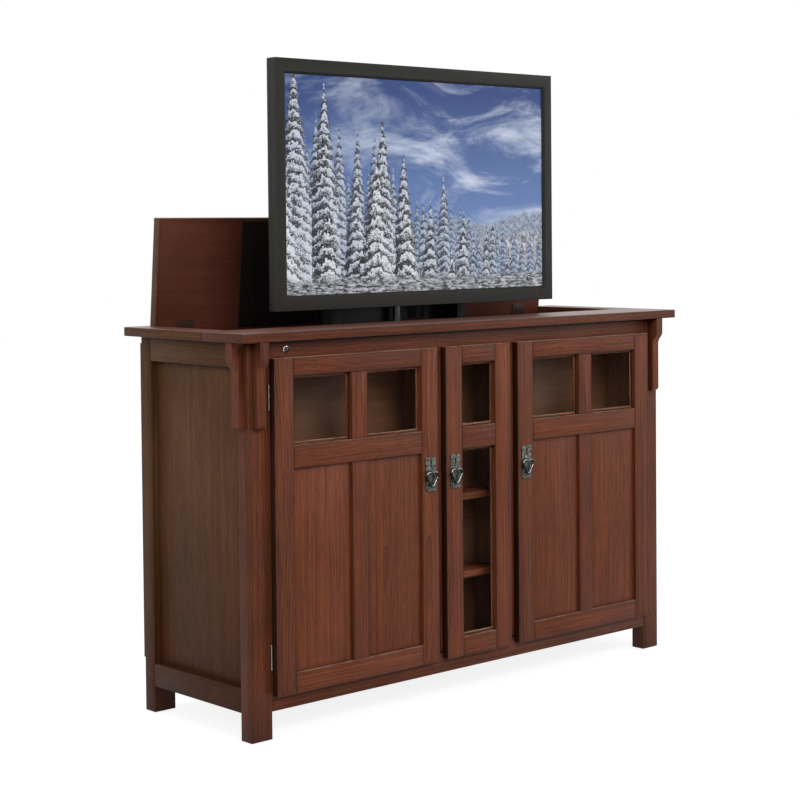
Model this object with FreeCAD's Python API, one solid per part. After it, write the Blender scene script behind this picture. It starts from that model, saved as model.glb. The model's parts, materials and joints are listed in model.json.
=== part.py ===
import FreeCAD, Part
import math
import os

Vector = FreeCAD.Vector

# A cabinet with a television on a two stage lift. Millimetres, +Z up, X to the right, front towards -Y.
# The origin is on the floor under the middle of the top. It is drawn with the lift raised and the lid open.

# Overall sizes
top_width = 1500.0
top_depth = 475.0
height = 940.0
top_thickness = 22.0
top_overhang_side = 40.0
top_overhang_front = 36.0
top_overhang_back = 14.0
top_edge_radius = 2.0
edge_radius = 1.0

# Posts, rails and panels of the case
post_width = 60.0
post_depth = 40.0
glide_height = 2.0
glide_radius = 14.0
foot_height = 66.0
rail_thickness = 20.0
top_rail_height = 60.0
bottom_rail_height = 56.0
side_rail_thickness = 22.0
side_panel_thickness = 8.0
side_panel_recess = 18.0
rear_rail_depth = 43.5
rear_rail_height = 40.0
end_stile_width = 25.0
centre_stile_width = 56.0

# Boards inside the case
base_board_thickness = 12.0
floor_thickness = 16.0
bulkhead_thickness = 9.0
bulkhead_top_gap = 0.5
divider_thickness = 16.0
shelf_thickness = 16.0
shelf_front_setback = 6.0
centre_shelf_rises = (179.1, 378.1)
side_shelf_rises = (258.7, 517.4)
shelf_pin_radius = 3.0
shelf_pin_length = 9.0
shelf_pin_inset = 18.0

# Back panel, with its cable ports, vents and screws
back_panel_thickness = 7.0
back_panel_inset = 2.0
back_panel_rise = 9.0
back_panel_top_drop = 19.0
cable_port_width = 110.0
cable_port_height = 60.0
cable_port_corner = 12.0
cable_port_inset = 270.0
cable_port_rise = 99.0
vent_count = 6
vent_width = 90.0
vent_height = 8.0
vent_pitch = 24.0
vent_top_drop = 130.0
panel_screw_radius = 4.0
panel_screw_head = 1.6
panel_screw_inset = 16.0
panel_screw_columns = (150.0, 420.0)

# Corbels
corbel_thickness = 24.0
corbel_length = 200.0
corbel_top_reach = 34.0
corbel_low_reach = 19.0
corbel_top_drop = 35.0
corbel_ogee_drop = 36.0
corbel_end_radius = 12.0
front_corbel_inset = 12.0
side_corbel_inset = 14.0

# Infrared eye and screw plugs
eye_inset = 50.0
eye_drop = 21.0
eye_radius = 9.0
eye_lens_radius = 6.4
eye_reach = 3.0
eye_lens_edge = 1.2
eye_lens_ball = 9.0
eye_rim_radius = 0.8
plug_radius = 4.5
plug_reach = 0.8
plug_top_drop = 30.0
plug_foot_rise = 29.0
plug_offset = 3.0

# Doors
door_bottom_rise = 36.0
door_top_drop = 39.0
door_thickness = 18.0
door_gap = 3.0
door_stile = 55.0
door_mullion = 50.0
door_top_rail = 43.0
door_pane_height = 160.0
door_middle_rail = 54.0
door_bottom_rail = 48.0
door_spacing = 28.0
centre_door_width = 226.0
panel_thickness = 6.0
panel_recess = 7.0
glass_thickness = 4.0
glass_recess = 9.0

# Door hinges and catches
door_hinge_length = 60.0
door_hinge_inset = 60.0
door_leaf_width = 22.0
door_leaf_thickness = 1.2
door_barrel_radius = 2.4
door_pin_radius = 1.2
door_axis_reach = 2.8
door_axis_offset = 3.0
pin_clearance = 0.1
knuckle_gap = 0.4
knuckle_relief = 0.5
knuckle_count = 5
catch_width = 36.0
catch_height = 14.0
catch_depth = 20.0
catch_inset = 14.0
catch_gap = 0.3
strike_thickness = 1.0
strike_margin = 3.0

# Pulls: a back plate with a keyhole, a post and a swinging bail
pull_width = 33.0
pull_height = 82.0
pull_centre_rise = 467.754
pull_plate_thickness = 2.5
pull_corner_radius = 2.0
keyhole_radius = 3.4
keyhole_width = 4.0
keyhole_drop = 12.0
keyhole_length = 12.0
pull_lip_reach = 3.0
pull_lip_height = 3.0
pull_lip_inset = 2.0
pull_rivet_radius = 2.2
pull_rivet_reach = 1.0
pull_rivet_inset = 6.0
pull_post_drop = 37.0
pull_post_radius = 4.2
pull_post_half_width = 4.0
pull_axis_reach = 5.8
pull_pin_radius = 1.5
bail_radius = 2.2
bail_end_gap = 0.4
bail_half_width = 18.0
bail_drop = 34.0
bail_shoulder_radius = 8.5
bail_tip_radius = 7.0

# Lid and its hinges
lid_side_inset = 34.0
lid_side_gap = 2.0
lid_front_gap = 3.0
lid_end_gap = 3.5
lid_open_angle = 85.0
lid_axis_inset = 25.5
lid_leaf_thickness = 2.5
lid_leaf_gap = 1.5
lid_leaf_width = 36.0
lid_hinge_length = 48.0
lid_hinge_inset = 88.0
lid_pin_radius = 1.5
pad_thickness = 2.4
pad_seat_gap = 0.1
pad_half_width = 383.0
pad_margin = 8.0
pad_hinge_gap = 3.0

# Television
tv_width = 951.0
tv_height = 606.0
tv_thickness = 46.0
tv_centre_x = -40.0
tv_rise = 36.0
tv_well_clearance = 6.0
tv_lid_clearance = 8.0
tv_bezel_depth = 20.0
tv_bezel_side = 33.0
tv_bezel_top = 37.0
tv_bezel_chamfer = 6.0
tv_screen_recess = 8.0
tv_screen_thickness = 8.0
tv_screen_lap = 5.0
tv_shell_wall = 3.0
tv_back_taper = 12.0
tv_lid_distance = 234.0

# Lift: two stages slide side by side inside an outer frame
lift_standoff = 44.0
outer_half_width = 262.0
outer_front_gap = 1.0
outer_back_reach = 22.0
outer_top_drop = 18.0
stage_depth = 36.0
stage_width = 30.0
stage_gap = 0.3
tube_wall = 2.5
tie_thickness = 10.0
tie_height = 40.0
tie_drop = 278.0
base_plate_thickness = 8.0
base_plate_front_reach = 32.0
base_plate_back_reach = 60.0
stay_thickness = 5.0
stay_width = 40.0
stay_inset = 1.0
middle_below_top = 358.0
middle_above_top = 282.0
middle_plate_thickness = 8.0
middle_sheet_thickness = 2.0
carriage_low_rise = 67.0
carriage_top_rise = 422.0
crossbar_thickness = 18.0
crossbar_height = 40.0
low_crossbar_rise = 92.0
high_crossbar_drop = 50.0
push_arm_thickness = 14.0
push_arm_height = 26.0
push_arm_clearance = 8.0
push_arm_axis_gap = 67.0
push_arm_rise = 262.0
push_arm_end_radius = 13.0

# Bracket that holds the television on the carriage
bracket_plate_thickness = 4.0
bracket_rail_width = 30.0
bracket_spacing = 300.0
bracket_low_rise = 102.0
bracket_high_rise = 407.0
bracket_rail_low_rise = 162.0
bracket_rail_high_rise = 552.0

# Cascade belt and its pulleys
belt_x = 90.0
belt_width = 12.0
belt_thickness = 1.6
belt_clearance = 0.3
belt_slot = 35.0
pulley_radius = 14.0
pulley_flange = 3.0
pulley_flange_width = 1.5
pulley_width = 16.0
upper_pulley_rise = 232.0
lower_pulley_drop = 308.0
axle_radius = 4.0
axle_clearance = 0.08
cheek_gap = 0.6
cheek_thickness = 3.0
cheek_half_depth = 8.0
cheek_reach = 12.0
fixed_clamp_drop = 268.0
fixed_clamp_height = 20.0
carriage_clamp_rise = 152.0
carriage_clamp_height = 22.0

# Electric actuator and control box
actuator_radius = 16.0
actuator_bore = 11.0
actuator_top_drop = 218.0
actuator_half_depth = 17.5
rod_radius = 10.0
rod_overlap = 100.0
lug_half_width = 20.0
lug_height = 25.0
lug_reach = 16.0
gearbox_height = 64.0
gearbox_width = 50.0
motor_radius = 17.0
motor_length = 110.0
motor_end_radius = 3.0
control_box_inset = 50.0
control_box_length = 160.0
control_box_rear_gap = 53.5
control_box_depth = 80.0
control_box_height = 42.0

# Worked out from the sizes above
case_half = top_width / 2 - top_overhang_side
case_front = -top_depth / 2 + top_overhang_front
case_back = top_depth / 2 - top_overhang_back
case_top = height - top_thickness
post_inner = case_half - post_width
front_post_back = case_front + post_depth
rear_post_front = case_back - post_depth
frame_back = case_front + rail_thickness
rear_rail_front = case_back - rail_thickness
sill = foot_height + bottom_rail_height
lintel = case_top - top_rail_height
base_top = foot_height + base_board_thickness
back_panel_bottom = sill + back_panel_rise
cable_port_x = case_half - cable_port_inset
cable_port_z = back_panel_bottom + cable_port_rise
eye_x = eye_inset - post_inner
panel_outer = case_half - side_panel_recess
panel_inner = panel_outer - side_panel_thickness
door_bottom = foot_height + door_bottom_rise
door_top = case_top - door_top_drop
door_back = case_front - door_gap
door_front = door_back - door_thickness
pane_top = door_top - door_top_rail
middle_rail_top = pane_top - door_pane_height
middle_rail_bottom = middle_rail_top - door_middle_rail
lower_opening_bottom = door_bottom + door_bottom_rail
side_door_inner = centre_door_width / 2 + door_spacing
stile_centre = (centre_door_width / 2 + side_door_inner) / 2
lid_axis_y = top_depth / 2 - lid_axis_inset
lid_axis_z = case_top - lid_leaf_thickness - lid_leaf_gap / 2
lid_barrel_radius = lid_leaf_thickness + lid_leaf_gap / 2
rear_rail_top = case_top - 2 * lid_leaf_thickness - lid_leaf_gap
lid_half_width = case_half - lid_side_inset
lid_hinge_reach = lid_half_width - lid_hinge_inset
lid_hinge_x = (-lid_hinge_reach, 0.0, lid_hinge_reach)
opening_half = lid_half_width + lid_side_gap
tv_back = lid_axis_y - tv_lid_distance
tv_front = tv_back - tv_thickness
tv_bottom = height + tv_rise
lid_front = tv_front - tv_lid_clearance
opening_front = lid_front - lid_front_gap
bulkhead_back = tv_front - tv_well_clearance
bulkhead_front = bulkhead_back - bulkhead_thickness
stage_front = tv_back + lift_standoff
stage_back = stage_front + stage_depth
outer_front = stage_front + outer_front_gap
outer_back = stage_back + outer_back_reach
base_plate_front = stage_front - base_plate_front_reach
base_plate_back = outer_back + base_plate_back_reach
base_plate_top = base_top + base_plate_thickness
stay_x = outer_half_width - stay_inset - stay_width
push_arm_y = lid_axis_y - push_arm_axis_gap
belt_line = (stage_front + stage_back) / 2
belt_inner = pulley_radius + belt_clearance
belt_outer = belt_inner + belt_thickness
upper_pulley_z = case_top + upper_pulley_rise
lower_pulley_z = case_top - lower_pulley_drop
middle_bottom = case_top - middle_below_top
middle_top = case_top + middle_above_top
middle_outer = outer_half_width - stage_width - stage_gap
middle_inner = outer_half_width - 2 * stage_width
carriage_outer = middle_inner - stage_gap
carriage_inner = middle_inner - stage_width
carriage_top = case_top + carriage_top_rise
crossbar_front = stage_front - crossbar_thickness

door_hinge = (door_hinge_length, door_leaf_width, door_leaf_thickness, door_barrel_radius, door_pin_radius)
lid_hinge = (lid_hinge_length, lid_leaf_width, lid_leaf_thickness, lid_barrel_radius, lid_pin_radius)


def box(x0, x1, y0, y1, z0, z1):
    return Part.makeBox(x1 - x0, y1 - y0, z1 - z0, Vector(x0, y0, z0))


def upright_tube(x0, x1, y0, y1, z0, z1):
    """A box section that stands up, open at both ends."""
    hollow = box(x0 + tube_wall, x1 - tube_wall, y0 + tube_wall, y1 - tube_wall, z0, z1)
    return box(x0, x1, y0, y1, z0, z1).cut(hollow)


def board(x0, x1, y0, y1, z0, z1, radius=edge_radius):
    """A box with every edge rounded a little."""
    blank = box(x0, x1, y0, y1, z0, z1)
    return blank.makeFillet(radius, blank.Edges)


def rod(radius, start, end):
    axis = end - start
    return Part.makeCylinder(radius, axis.Length, start, axis)


def rod_x(radius, x0, x1, y, z):
    return rod(radius, Vector(x0, y, z), Vector(x1, y, z))


def mirrored(shape):
    return shape.mirror(Vector(0, 0, 0), Vector(1, 0, 0))


def pair(shape):
    """The shape and its copy on the other side of the middle."""
    return [shape, mirrored(shape)]


def joined(shapes):
    return shapes[0].fuse(shapes[1:]).removeSplitter()


def edges_along(shape, axis):
    """Straight edges that run along an axis."""
    return [edge for edge in shape.Edges if abs(edge.tangentAt(edge.FirstParameter).dot(axis)) > 0.99]


def save(name, solids):
    Part.makeCompound(solids).exportStep("parts/" + name + ".step")


def save_on_lift(name, solids):
    """Saves shapes that are drawn with the middle of the lift at X = 0."""
    for solid in solids:
        solid.translate(Vector(tv_centre_x, 0, 0))
    save(name, solids)


# Case

def make_top():
    half = top_width / 2
    deep = top_depth / 2
    front = board(-half, half, -deep, opening_front, case_top, height, top_edge_radius)
    side = board(opening_half, half, opening_front, deep, case_top, height, top_edge_radius)
    save("top_front_board", [front])
    save("top_side_boards", pair(side))


def make_posts():
    posts = []
    glides = []
    for low_y, high_y in ((case_front, front_post_back), (rear_post_front, case_back)):
        posts += pair(board(post_inner, case_half, low_y, high_y, glide_height, case_top))
        foot = Vector(case_half - post_width / 2, (low_y + high_y) / 2, 0)
        glides += pair(rod(glide_radius, foot, foot + Vector(0, 0, glide_height)))
    save("corner_posts", posts)
    save("foot_glides", glides)


def make_side_frames():
    inner = case_half - side_rail_thickness
    upper = board(inner, case_half, front_post_back, rear_post_front, lintel, case_top)
    lower = board(inner, case_half, front_post_back, rear_post_front, foot_height, sill)
    panel = box(panel_inner, panel_outer, front_post_back, rear_post_front, sill, lintel)
    save("side_rails", pair(upper) + pair(lower))
    save("side_panels", pair(panel))


def make_face_frame():
    upper = board(-post_inner, post_inner, case_front, frame_back, lintel, case_top)
    lower = board(-post_inner, post_inner, case_front, frame_back, foot_height, sill)
    half = centre_stile_width / 2
    middle = board(stile_centre - half, stile_centre + half, case_front, frame_back, sill, lintel)
    end = board(post_inner - end_stile_width, post_inner, case_front, frame_back, sill, lintel)
    save("face_frame_rails", [upper, lower])
    save("face_frame_stiles", pair(middle) + pair(end))


def make_rear_rails():
    upper_front = case_back - rear_rail_depth
    upper_low = rear_rail_top - rear_rail_height
    upper = board(-post_inner, post_inner, upper_front, case_back, upper_low, rear_rail_top)
    lower = board(-post_inner, post_inner, rear_rail_front, case_back, foot_height, sill)
    save("rear_rails", [upper, lower])


def make_bottom_boards():
    across = box(-post_inner, post_inner, frame_back, rear_rail_front, foot_height, base_top)
    inner = case_half - side_rail_thickness
    along = box(-inner, inner, front_post_back, rear_post_front, foot_height, base_top)
    floor = board(-post_inner, post_inner, frame_back, bulkhead_front, sill - floor_thickness, sill)
    save("bottom_boards", [joined([across, along]), floor])


def make_bulkhead():
    top = case_top - bulkhead_top_gap
    save("bulkhead_panel", [box(-panel_inner, panel_inner, bulkhead_front, bulkhead_back, base_top, top)])


def make_dividers():
    half = divider_thickness / 2
    inner = board(stile_centre - half, stile_centre + half, frame_back, bulkhead_front, sill, case_top)
    end = board(post_inner - divider_thickness, post_inner, frame_back, bulkhead_front, sill, case_top)
    save("compartment_dividers", pair(inner) + pair(end))


def shelf_pins(left, right, front, level):
    """The four pins under a shelf, two in each wall."""
    pins = []
    for y in (front + shelf_pin_inset, bulkhead_front - shelf_pin_inset):
        pins.append(rod_x(shelf_pin_radius, left, left + shelf_pin_length, y, level))
        pins.append(rod_x(shelf_pin_radius, right - shelf_pin_length, right, y, level))
    return pins


def make_shelves():
    wall = divider_thickness / 2
    end_wall = post_inner - divider_thickness
    bays = [(-stile_centre + wall, stile_centre - wall, rise) for rise in centre_shelf_rises]
    bays += [(stile_centre + wall, end_wall, rise) for rise in side_shelf_rises]
    bays += [(-end_wall, -stile_centre - wall, rise) for rise in side_shelf_rises]
    front = frame_back + shelf_front_setback
    shelves = []
    pins = []
    for left, right, rise in bays:
        top = sill + rise
        low = top - shelf_thickness
        shelves.append(board(left, right, front, bulkhead_front, low, top))
        pins += shelf_pins(left, right, front, low - shelf_pin_radius)
    save("storage_shelves", shelves)
    save("shelf_pins", pins)


def back_panel_cuts(outer):
    """The two cable ports and the two stacks of vents."""
    front = case_back - 1.0
    rear = outer + 1.0
    port_low = cable_port_z - cable_port_height / 2
    cuts = []
    for centre in (-cable_port_x, cable_port_x):
        left = centre - cable_port_width / 2
        port = box(left, left + cable_port_width, front, rear, port_low, port_low + cable_port_height)
        cuts.append(port.makeFillet(cable_port_corner, edges_along(port, Vector(0, 1, 0))))
        left = centre - vent_width / 2
        for index in range(vent_count):
            low = case_top - vent_top_drop - index * vent_pitch
            cuts.append(box(left, left + vent_width, front, rear, low, low + vent_height))
    return cuts


def make_back_panel():
    half = case_half - back_panel_inset
    outer = case_back + back_panel_thickness
    top = case_top - back_panel_top_drop
    panel = box(-half, half, case_back, outer, back_panel_bottom, top)
    save("back_panel", [panel.cut(back_panel_cuts(outer))])
    edge = half - panel_screw_inset
    rows = (back_panel_bottom + panel_screw_inset, top - panel_screw_inset)
    places = [(edge, (back_panel_bottom + top) / 2)]
    places += [(x, z) for z in rows for x in panel_screw_columns + (edge,)]
    screws = []
    for x, z in places:
        head = rod(panel_screw_radius, Vector(x, outer, z), Vector(x, outer + panel_screw_head, z))
        screws += pair(head)
    save("back_panel_screws", screws)


def corbel_face(reach):
    """The side view of a corbel that hangs down from the origin and stands out along reach."""
    def at(out, drop):
        return reach * out - Vector(0, 0, drop)

    half_out = (corbel_top_reach - corbel_low_reach) / 2
    half_drop = corbel_ogee_drop / 2
    radius = (half_out ** 2 + half_drop ** 2) / (2 * half_out)
    sweep = math.asin(half_drop / radius) / 2
    bulge_out = radius * (1 - math.cos(sweep))
    bulge_drop = radius * math.sin(sweep)
    ogee_end = corbel_top_drop + corbel_ogee_drop
    turn = corbel_end_radius * (1 - math.sqrt(0.5))
    shoulder = at(corbel_top_reach, corbel_top_drop)
    middle = at(corbel_top_reach - half_out, corbel_top_drop + half_drop)
    waist = at(corbel_low_reach, ogee_end)
    upper_bulge = at(corbel_top_reach - bulge_out, corbel_top_drop + bulge_drop)
    lower_bulge = at(corbel_low_reach + bulge_out, ogee_end - bulge_drop)
    end_start = at(corbel_low_reach, corbel_length - corbel_end_radius)
    end_turn = at(corbel_low_reach - turn, corbel_length - turn)
    end_stop = at(corbel_low_reach - corbel_end_radius, corbel_length)
    edges = [
        Part.LineSegment(at(0, 0), at(corbel_top_reach, 0)),
        Part.LineSegment(at(corbel_top_reach, 0), shoulder),
        Part.Arc(shoulder, upper_bulge, middle),
        Part.Arc(middle, lower_bulge, waist),
        Part.LineSegment(waist, end_start),
        Part.Arc(end_start, end_turn, end_stop),
        Part.LineSegment(end_stop, at(0, corbel_length)),
        Part.LineSegment(at(0, corbel_length), at(0, 0)),
    ]
    return Part.Face(Part.Wire([edge.toShape() for edge in edges]))


def make_corbels():
    front = corbel_face(Vector(0, -1, 0)).extrude(Vector(corbel_thickness, 0, 0))
    front.translate(Vector(case_half - front_corbel_inset - corbel_thickness, case_front, case_top))
    side = corbel_face(Vector(1, 0, 0)).extrude(Vector(0, corbel_thickness, 0))
    side.translate(Vector(case_half, case_front + side_corbel_inset, case_top))
    corbels = []
    for blank in (front, side):
        corbels += pair(blank.makeFillet(edge_radius, blank.Edges))
    save("corbels", corbels)


def make_eye():
    start = Vector(eye_x, case_front, case_top - eye_drop)
    front = start - Vector(0, eye_reach, 0)
    bezel = rod(eye_radius, start, front).cut(rod(eye_lens_radius, start, front))
    rim = [edge for edge in bezel.Edges if abs(edge.CenterOfMass.y - front.y) < 0.01]
    bezel = bezel.makeFillet(eye_rim_radius, rim)
    sink = math.sqrt(eye_lens_ball ** 2 - eye_lens_radius ** 2) - eye_lens_edge
    ball = Part.makeSphere(eye_lens_ball, start + Vector(0, sink, 0))
    lens = rod(eye_lens_radius, start, start - Vector(0, eye_lens_ball, 0)).common(ball)
    save("ir_eye", [bezel, lens])


def make_plugs():
    low = foot_height + plug_foot_rise
    front = Vector(case_half - post_width / 2 + plug_offset, case_front, low)
    plugs = pair(rod(plug_radius, front, front - Vector(0, plug_reach, 0)))
    for z in (case_top - plug_top_drop, low):
        plugs += pair(rod_x(plug_radius, case_half, case_half + plug_reach, case_back - post_depth / 2, z))
    save("screw_plugs", plugs)


# Hinges

def knuckle_spans(length, first):
    """Start and end of every second knuckle along a barrel, from the knuckle numbered first."""
    step = length / knuckle_count
    trim = knuckle_gap / 2
    return [(i * step + trim, (i + 1) * step - trim) for i in range(first, knuckle_count, 2)]


def rod_z(radius, low, high):
    return rod(radius, Vector(0, 0, low), Vector(0, 0, high))


def hinge_leaf(hinge, plate_low, first):
    """A leaf whose barrel stands on the origin. Its plate runs towards +X, from plate_low in Y."""
    length, width, thickness, barrel, pin = hinge
    plate = box(0, width, plate_low, plate_low + thickness, 0, length)
    relief = [rod_z(barrel + knuckle_relief, low - knuckle_gap, high + knuckle_gap)
              for low, high in knuckle_spans(length, 1 - first)]
    knuckles = [rod_z(barrel, low, high) for low, high in knuckle_spans(length, first)]
    leaf = joined([plate.cut(relief)] + knuckles)
    return leaf.cut(rod_z(pin + pin_clearance, -1.0, length + 1.0))


def hinge_pin(hinge):
    return rod_z(hinge[4], 0, hinge[0])


def door_axes():
    """Name, hinge side, hinge axis X, and the X of the left and right edge of every door."""
    half = centre_door_width / 2
    return (
        ("left", -1, -post_inner - door_axis_offset, -post_inner, -side_door_inner),
        ("centre", 1, half + door_axis_offset, -half, half),
        ("right", 1, post_inner + door_axis_offset, side_door_inner, post_inner),
    )


def at_door_hinges(piece, side, axis_x):
    """Two copies of a hinge piece on a door's edge. side is -1 for the left edge, 1 for the right."""
    copies = []
    for low in (door_bottom + door_hinge_inset, door_top - door_hinge_inset - door_hinge_length):
        copy = mirrored(piece) if side > 0 else piece.copy()
        copy.translate(Vector(axis_x, case_front - door_axis_reach, low))
        copies.append(copy)
    return copies


def make_case_hinges():
    leaf = hinge_leaf(door_hinge, door_axis_reach - door_leaf_thickness, 0)
    leaves = []
    pins = []
    for name, side, axis_x, left, right in door_axes():
        leaves += at_door_hinges(leaf, side, axis_x)
        pins += at_door_hinges(hinge_pin(door_hinge), side, axis_x)
    save("door_hinge_case_leaves", leaves)
    save("door_hinge_pins", pins)


def catch_centres():
    """The X of each door's catch, under the lintel near the door's free edge."""
    reach = centre_stile_width / 2 + catch_inset + catch_width / 2
    return {"left": -stile_centre - reach, "centre": -stile_centre + reach, "right": stile_centre + reach}


def make_catches():
    front = door_back + strike_thickness + catch_gap
    half = catch_width / 2
    low = lintel - catch_height
    catches = [board(x - half, x + half, front, front + catch_depth, low, lintel)
               for x in catch_centres().values()]
    save("door_catches", catches)


# Doors

def door_stiles(left, right, with_mullion):
    inner_left = left + door_stile
    inner_right = right - door_stile
    stiles = [board(left, inner_left, door_front, door_back, door_bottom, door_top),
              board(inner_right, right, door_front, door_back, door_bottom, door_top)]
    if with_mullion:
        low_x = (left + right - door_mullion) / 2
        high_x = low_x + door_mullion
        for low, high in ((lower_opening_bottom, middle_rail_bottom), (middle_rail_top, pane_top)):
            stiles.append(board(low_x, high_x, door_front, door_back, low, high))
    return stiles


def door_rails(left, right):
    levels = ((door_bottom, lower_opening_bottom), (middle_rail_bottom, middle_rail_top), (pane_top, door_top))
    inner_left = left + door_stile
    inner_right = right - door_stile
    return [board(inner_left, inner_right, door_front, door_back, low, high) for low, high in levels]


def door_openings(left, right, with_mullion):
    """The X spans between stiles, and between a stile and the mullion."""
    inner_left = left + door_stile
    inner_right = right - door_stile
    if not with_mullion:
        return [(inner_left, inner_right)]
    middle = (left + right) / 2
    half = door_mullion / 2
    return [(inner_left, middle - half), (middle + half, inner_right)]


def make_door(name, side, axis_x, left, right):
    with_mullion = name != "centre"
    spans = door_openings(left, right, with_mullion)
    pane_front = door_front + glass_recess
    pane_back = pane_front + glass_thickness
    glass = [box(low, high, pane_front, pane_back, middle_rail_top, pane_top) for low, high in spans]
    if with_mullion:
        front = door_front + panel_recess
        back = front + panel_thickness
        panels = [box(low, high, front, back, lower_opening_bottom, middle_rail_bottom) for low, high in spans]
        save(name + "_door_panels", panels)
    else:
        low, high = spans[0]
        glass.append(box(low, high, pane_front, pane_back, lower_opening_bottom, middle_rail_bottom))
    save(name + "_door_stiles", door_stiles(left, right, with_mullion))
    save(name + "_door_rails", door_rails(left, right))
    save(name + "_door_glass", glass)
    make_door_hardware(name, side, axis_x)
    free_edge = right if side < 0 else left
    make_pull(name, free_edge + side * door_stile / 2)


def make_door_hardware(name, side, axis_x):
    """The door's hinge leaves, and the strike plate that meets its catch."""
    leaf = hinge_leaf(door_hinge, door_axis_reach - door_gap, 1)
    x = catch_centres()[name]
    half = catch_width / 2 - strike_margin
    low = lintel - catch_height + edge_radius
    high = lintel - edge_radius
    strike = box(x - half, x + half, door_back, door_back + strike_thickness, low, high)
    save(name + "_door_hardware", at_door_hinges(leaf, side, axis_x) + [strike])


def pull_plate():
    """A plate centred on X = 0 with its top at the origin and its back on Y = 0."""
    half = pull_width / 2
    front = -pull_plate_thickness
    plate = box(-half, half, front, 0, -pull_height, 0)
    plate = plate.makeFillet(pull_corner_radius, edges_along(plate, Vector(0, 1, 0)))
    key_top = Vector(0, front - 1.0, -keyhole_drop)
    round_hole = rod(keyhole_radius, key_top, key_top + Vector(0, pull_plate_thickness + 2.0, 0))
    slot_half = keyhole_width / 2
    slot = box(-slot_half, slot_half, front - 1.0, 1.0, -keyhole_drop - keyhole_length, -keyhole_drop)
    lip_half = half - pull_lip_inset
    lip = box(-lip_half, lip_half, front - pull_lip_reach, front, -pull_height, -pull_height + pull_lip_height)
    axis_y = front - pull_axis_reach
    post = rod_x(pull_post_radius, -pull_post_half_width, pull_post_half_width, axis_y, -pull_post_drop)
    web = box(-pull_post_half_width, pull_post_half_width, axis_y, front,
              -pull_post_drop - pull_post_radius, -pull_post_drop + pull_post_radius)
    parts = [plate.cut([round_hole, slot]), lip, post, web]
    for x in (-half + pull_rivet_inset, half - pull_rivet_inset):
        for z in (-pull_rivet_inset, -pull_height + 2 * pull_rivet_inset):
            parts.append(rod(pull_rivet_radius, Vector(x, front, z), Vector(x, front - pull_rivet_reach, z)))
    bore = rod_x(pull_pin_radius + pin_clearance, -pull_width, pull_width, axis_y, -pull_post_drop)
    return joined(parts).cut(bore)


def bail_outline():
    """The right half of the bail's centre line: start, shoulder arc, straight side, and the arc at the tip."""
    across = bail_half_width - bail_shoulder_radius
    down = bail_drop - bail_tip_radius - bail_shoulder_radius
    lean = math.atan2(across, down) + math.asin((bail_shoulder_radius - bail_tip_radius) / math.hypot(across, down))

    def around(x, z, radius, angle):
        return Vector(x + radius * math.cos(angle), 0, z - radius * math.sin(angle))

    start = Vector(pull_post_half_width + bail_end_gap, 0, 0)
    shoulder = Vector(across, 0, 0)
    shoulder_middle = around(across, -bail_shoulder_radius, bail_shoulder_radius, (lean - math.pi / 2) / 2)
    side_top = around(across, -bail_shoulder_radius, bail_shoulder_radius, lean)
    side_foot = around(0, bail_tip_radius - bail_drop, bail_tip_radius, lean)
    return start, shoulder, shoulder_middle, side_top, side_foot


def pull_bail():
    """A heart shaped loop of round bar, with the pin that it hangs from at the origin."""
    right = bail_outline()
    left = [Vector(-point.x, 0, point.z) for point in right]
    edges = [Part.LineSegment(right[0], right[1]), Part.Arc(right[1], right[2], right[3]),
             Part.LineSegment(right[3], right[4]), Part.Arc(right[4], Vector(0, 0, -bail_drop), left[4]),
             Part.LineSegment(left[4], left[3]), Part.Arc(left[3], left[2], left[1]),
             Part.LineSegment(left[1], left[0])]
    path = Part.Wire([edge.toShape() for edge in edges])
    ring = Part.Wire([Part.makeCircle(bail_radius, right[0], Vector(1, 0, 0))])
    bar = path.makePipeShell([ring], True, True)
    overlap = right[0].x + bail_radius
    return joined([bar, rod_x(pull_pin_radius, -overlap, overlap, 0, 0)])


def make_pull(name, x):
    top = door_bottom + pull_centre_rise + pull_height / 2
    plate = pull_plate()
    plate.translate(Vector(x, door_front, top))
    bail = pull_bail()
    bail.translate(Vector(x, door_front - pull_plate_thickness - pull_axis_reach, top - pull_post_drop))
    save(name + "_pull_plate", [plate])
    save(name + "_pull_bail", [bail])


# Lid

def open_lid(shape):
    """Turns a shape drawn with the lid shut to where the lid stands open."""
    shape.rotate(Vector(0, lid_axis_y, lid_axis_z), Vector(1, 0, 0), -lid_open_angle)
    return shape


def on_lid_axis(piece, x):
    """Lays a hinge piece along the lid's axis, its plate towards the front."""
    left = x - lid_hinge_length / 2
    matrix = FreeCAD.Matrix(0, 0, 1, left, -1, 0, 0, lid_axis_y, 0, -1, 0, lid_axis_z, 0, 0, 0, 1)
    copy = piece.copy()
    copy.Placement = FreeCAD.Placement(matrix)
    return copy


def make_lid():
    rear = lid_axis_y - lid_end_gap
    panel = board(-lid_half_width, lid_half_width, lid_front, rear, case_top, height, top_edge_radius)
    save("lid_panel", [open_lid(panel)])
    fixed = hinge_leaf(lid_hinge, lid_leaf_gap / 2, 0)
    moving = hinge_leaf(lid_hinge, -lid_leaf_gap / 2 - lid_leaf_thickness, 1)
    save("lid_hinge_rail_leaves", [on_lid_axis(fixed, x) for x in lid_hinge_x])
    save("lid_hinge_leaves", [open_lid(on_lid_axis(moving, x)) for x in lid_hinge_x])
    save("lid_hinge_pins", [on_lid_axis(hinge_pin(lid_hinge), x) for x in lid_hinge_x])
    make_pad(rear)


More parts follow.
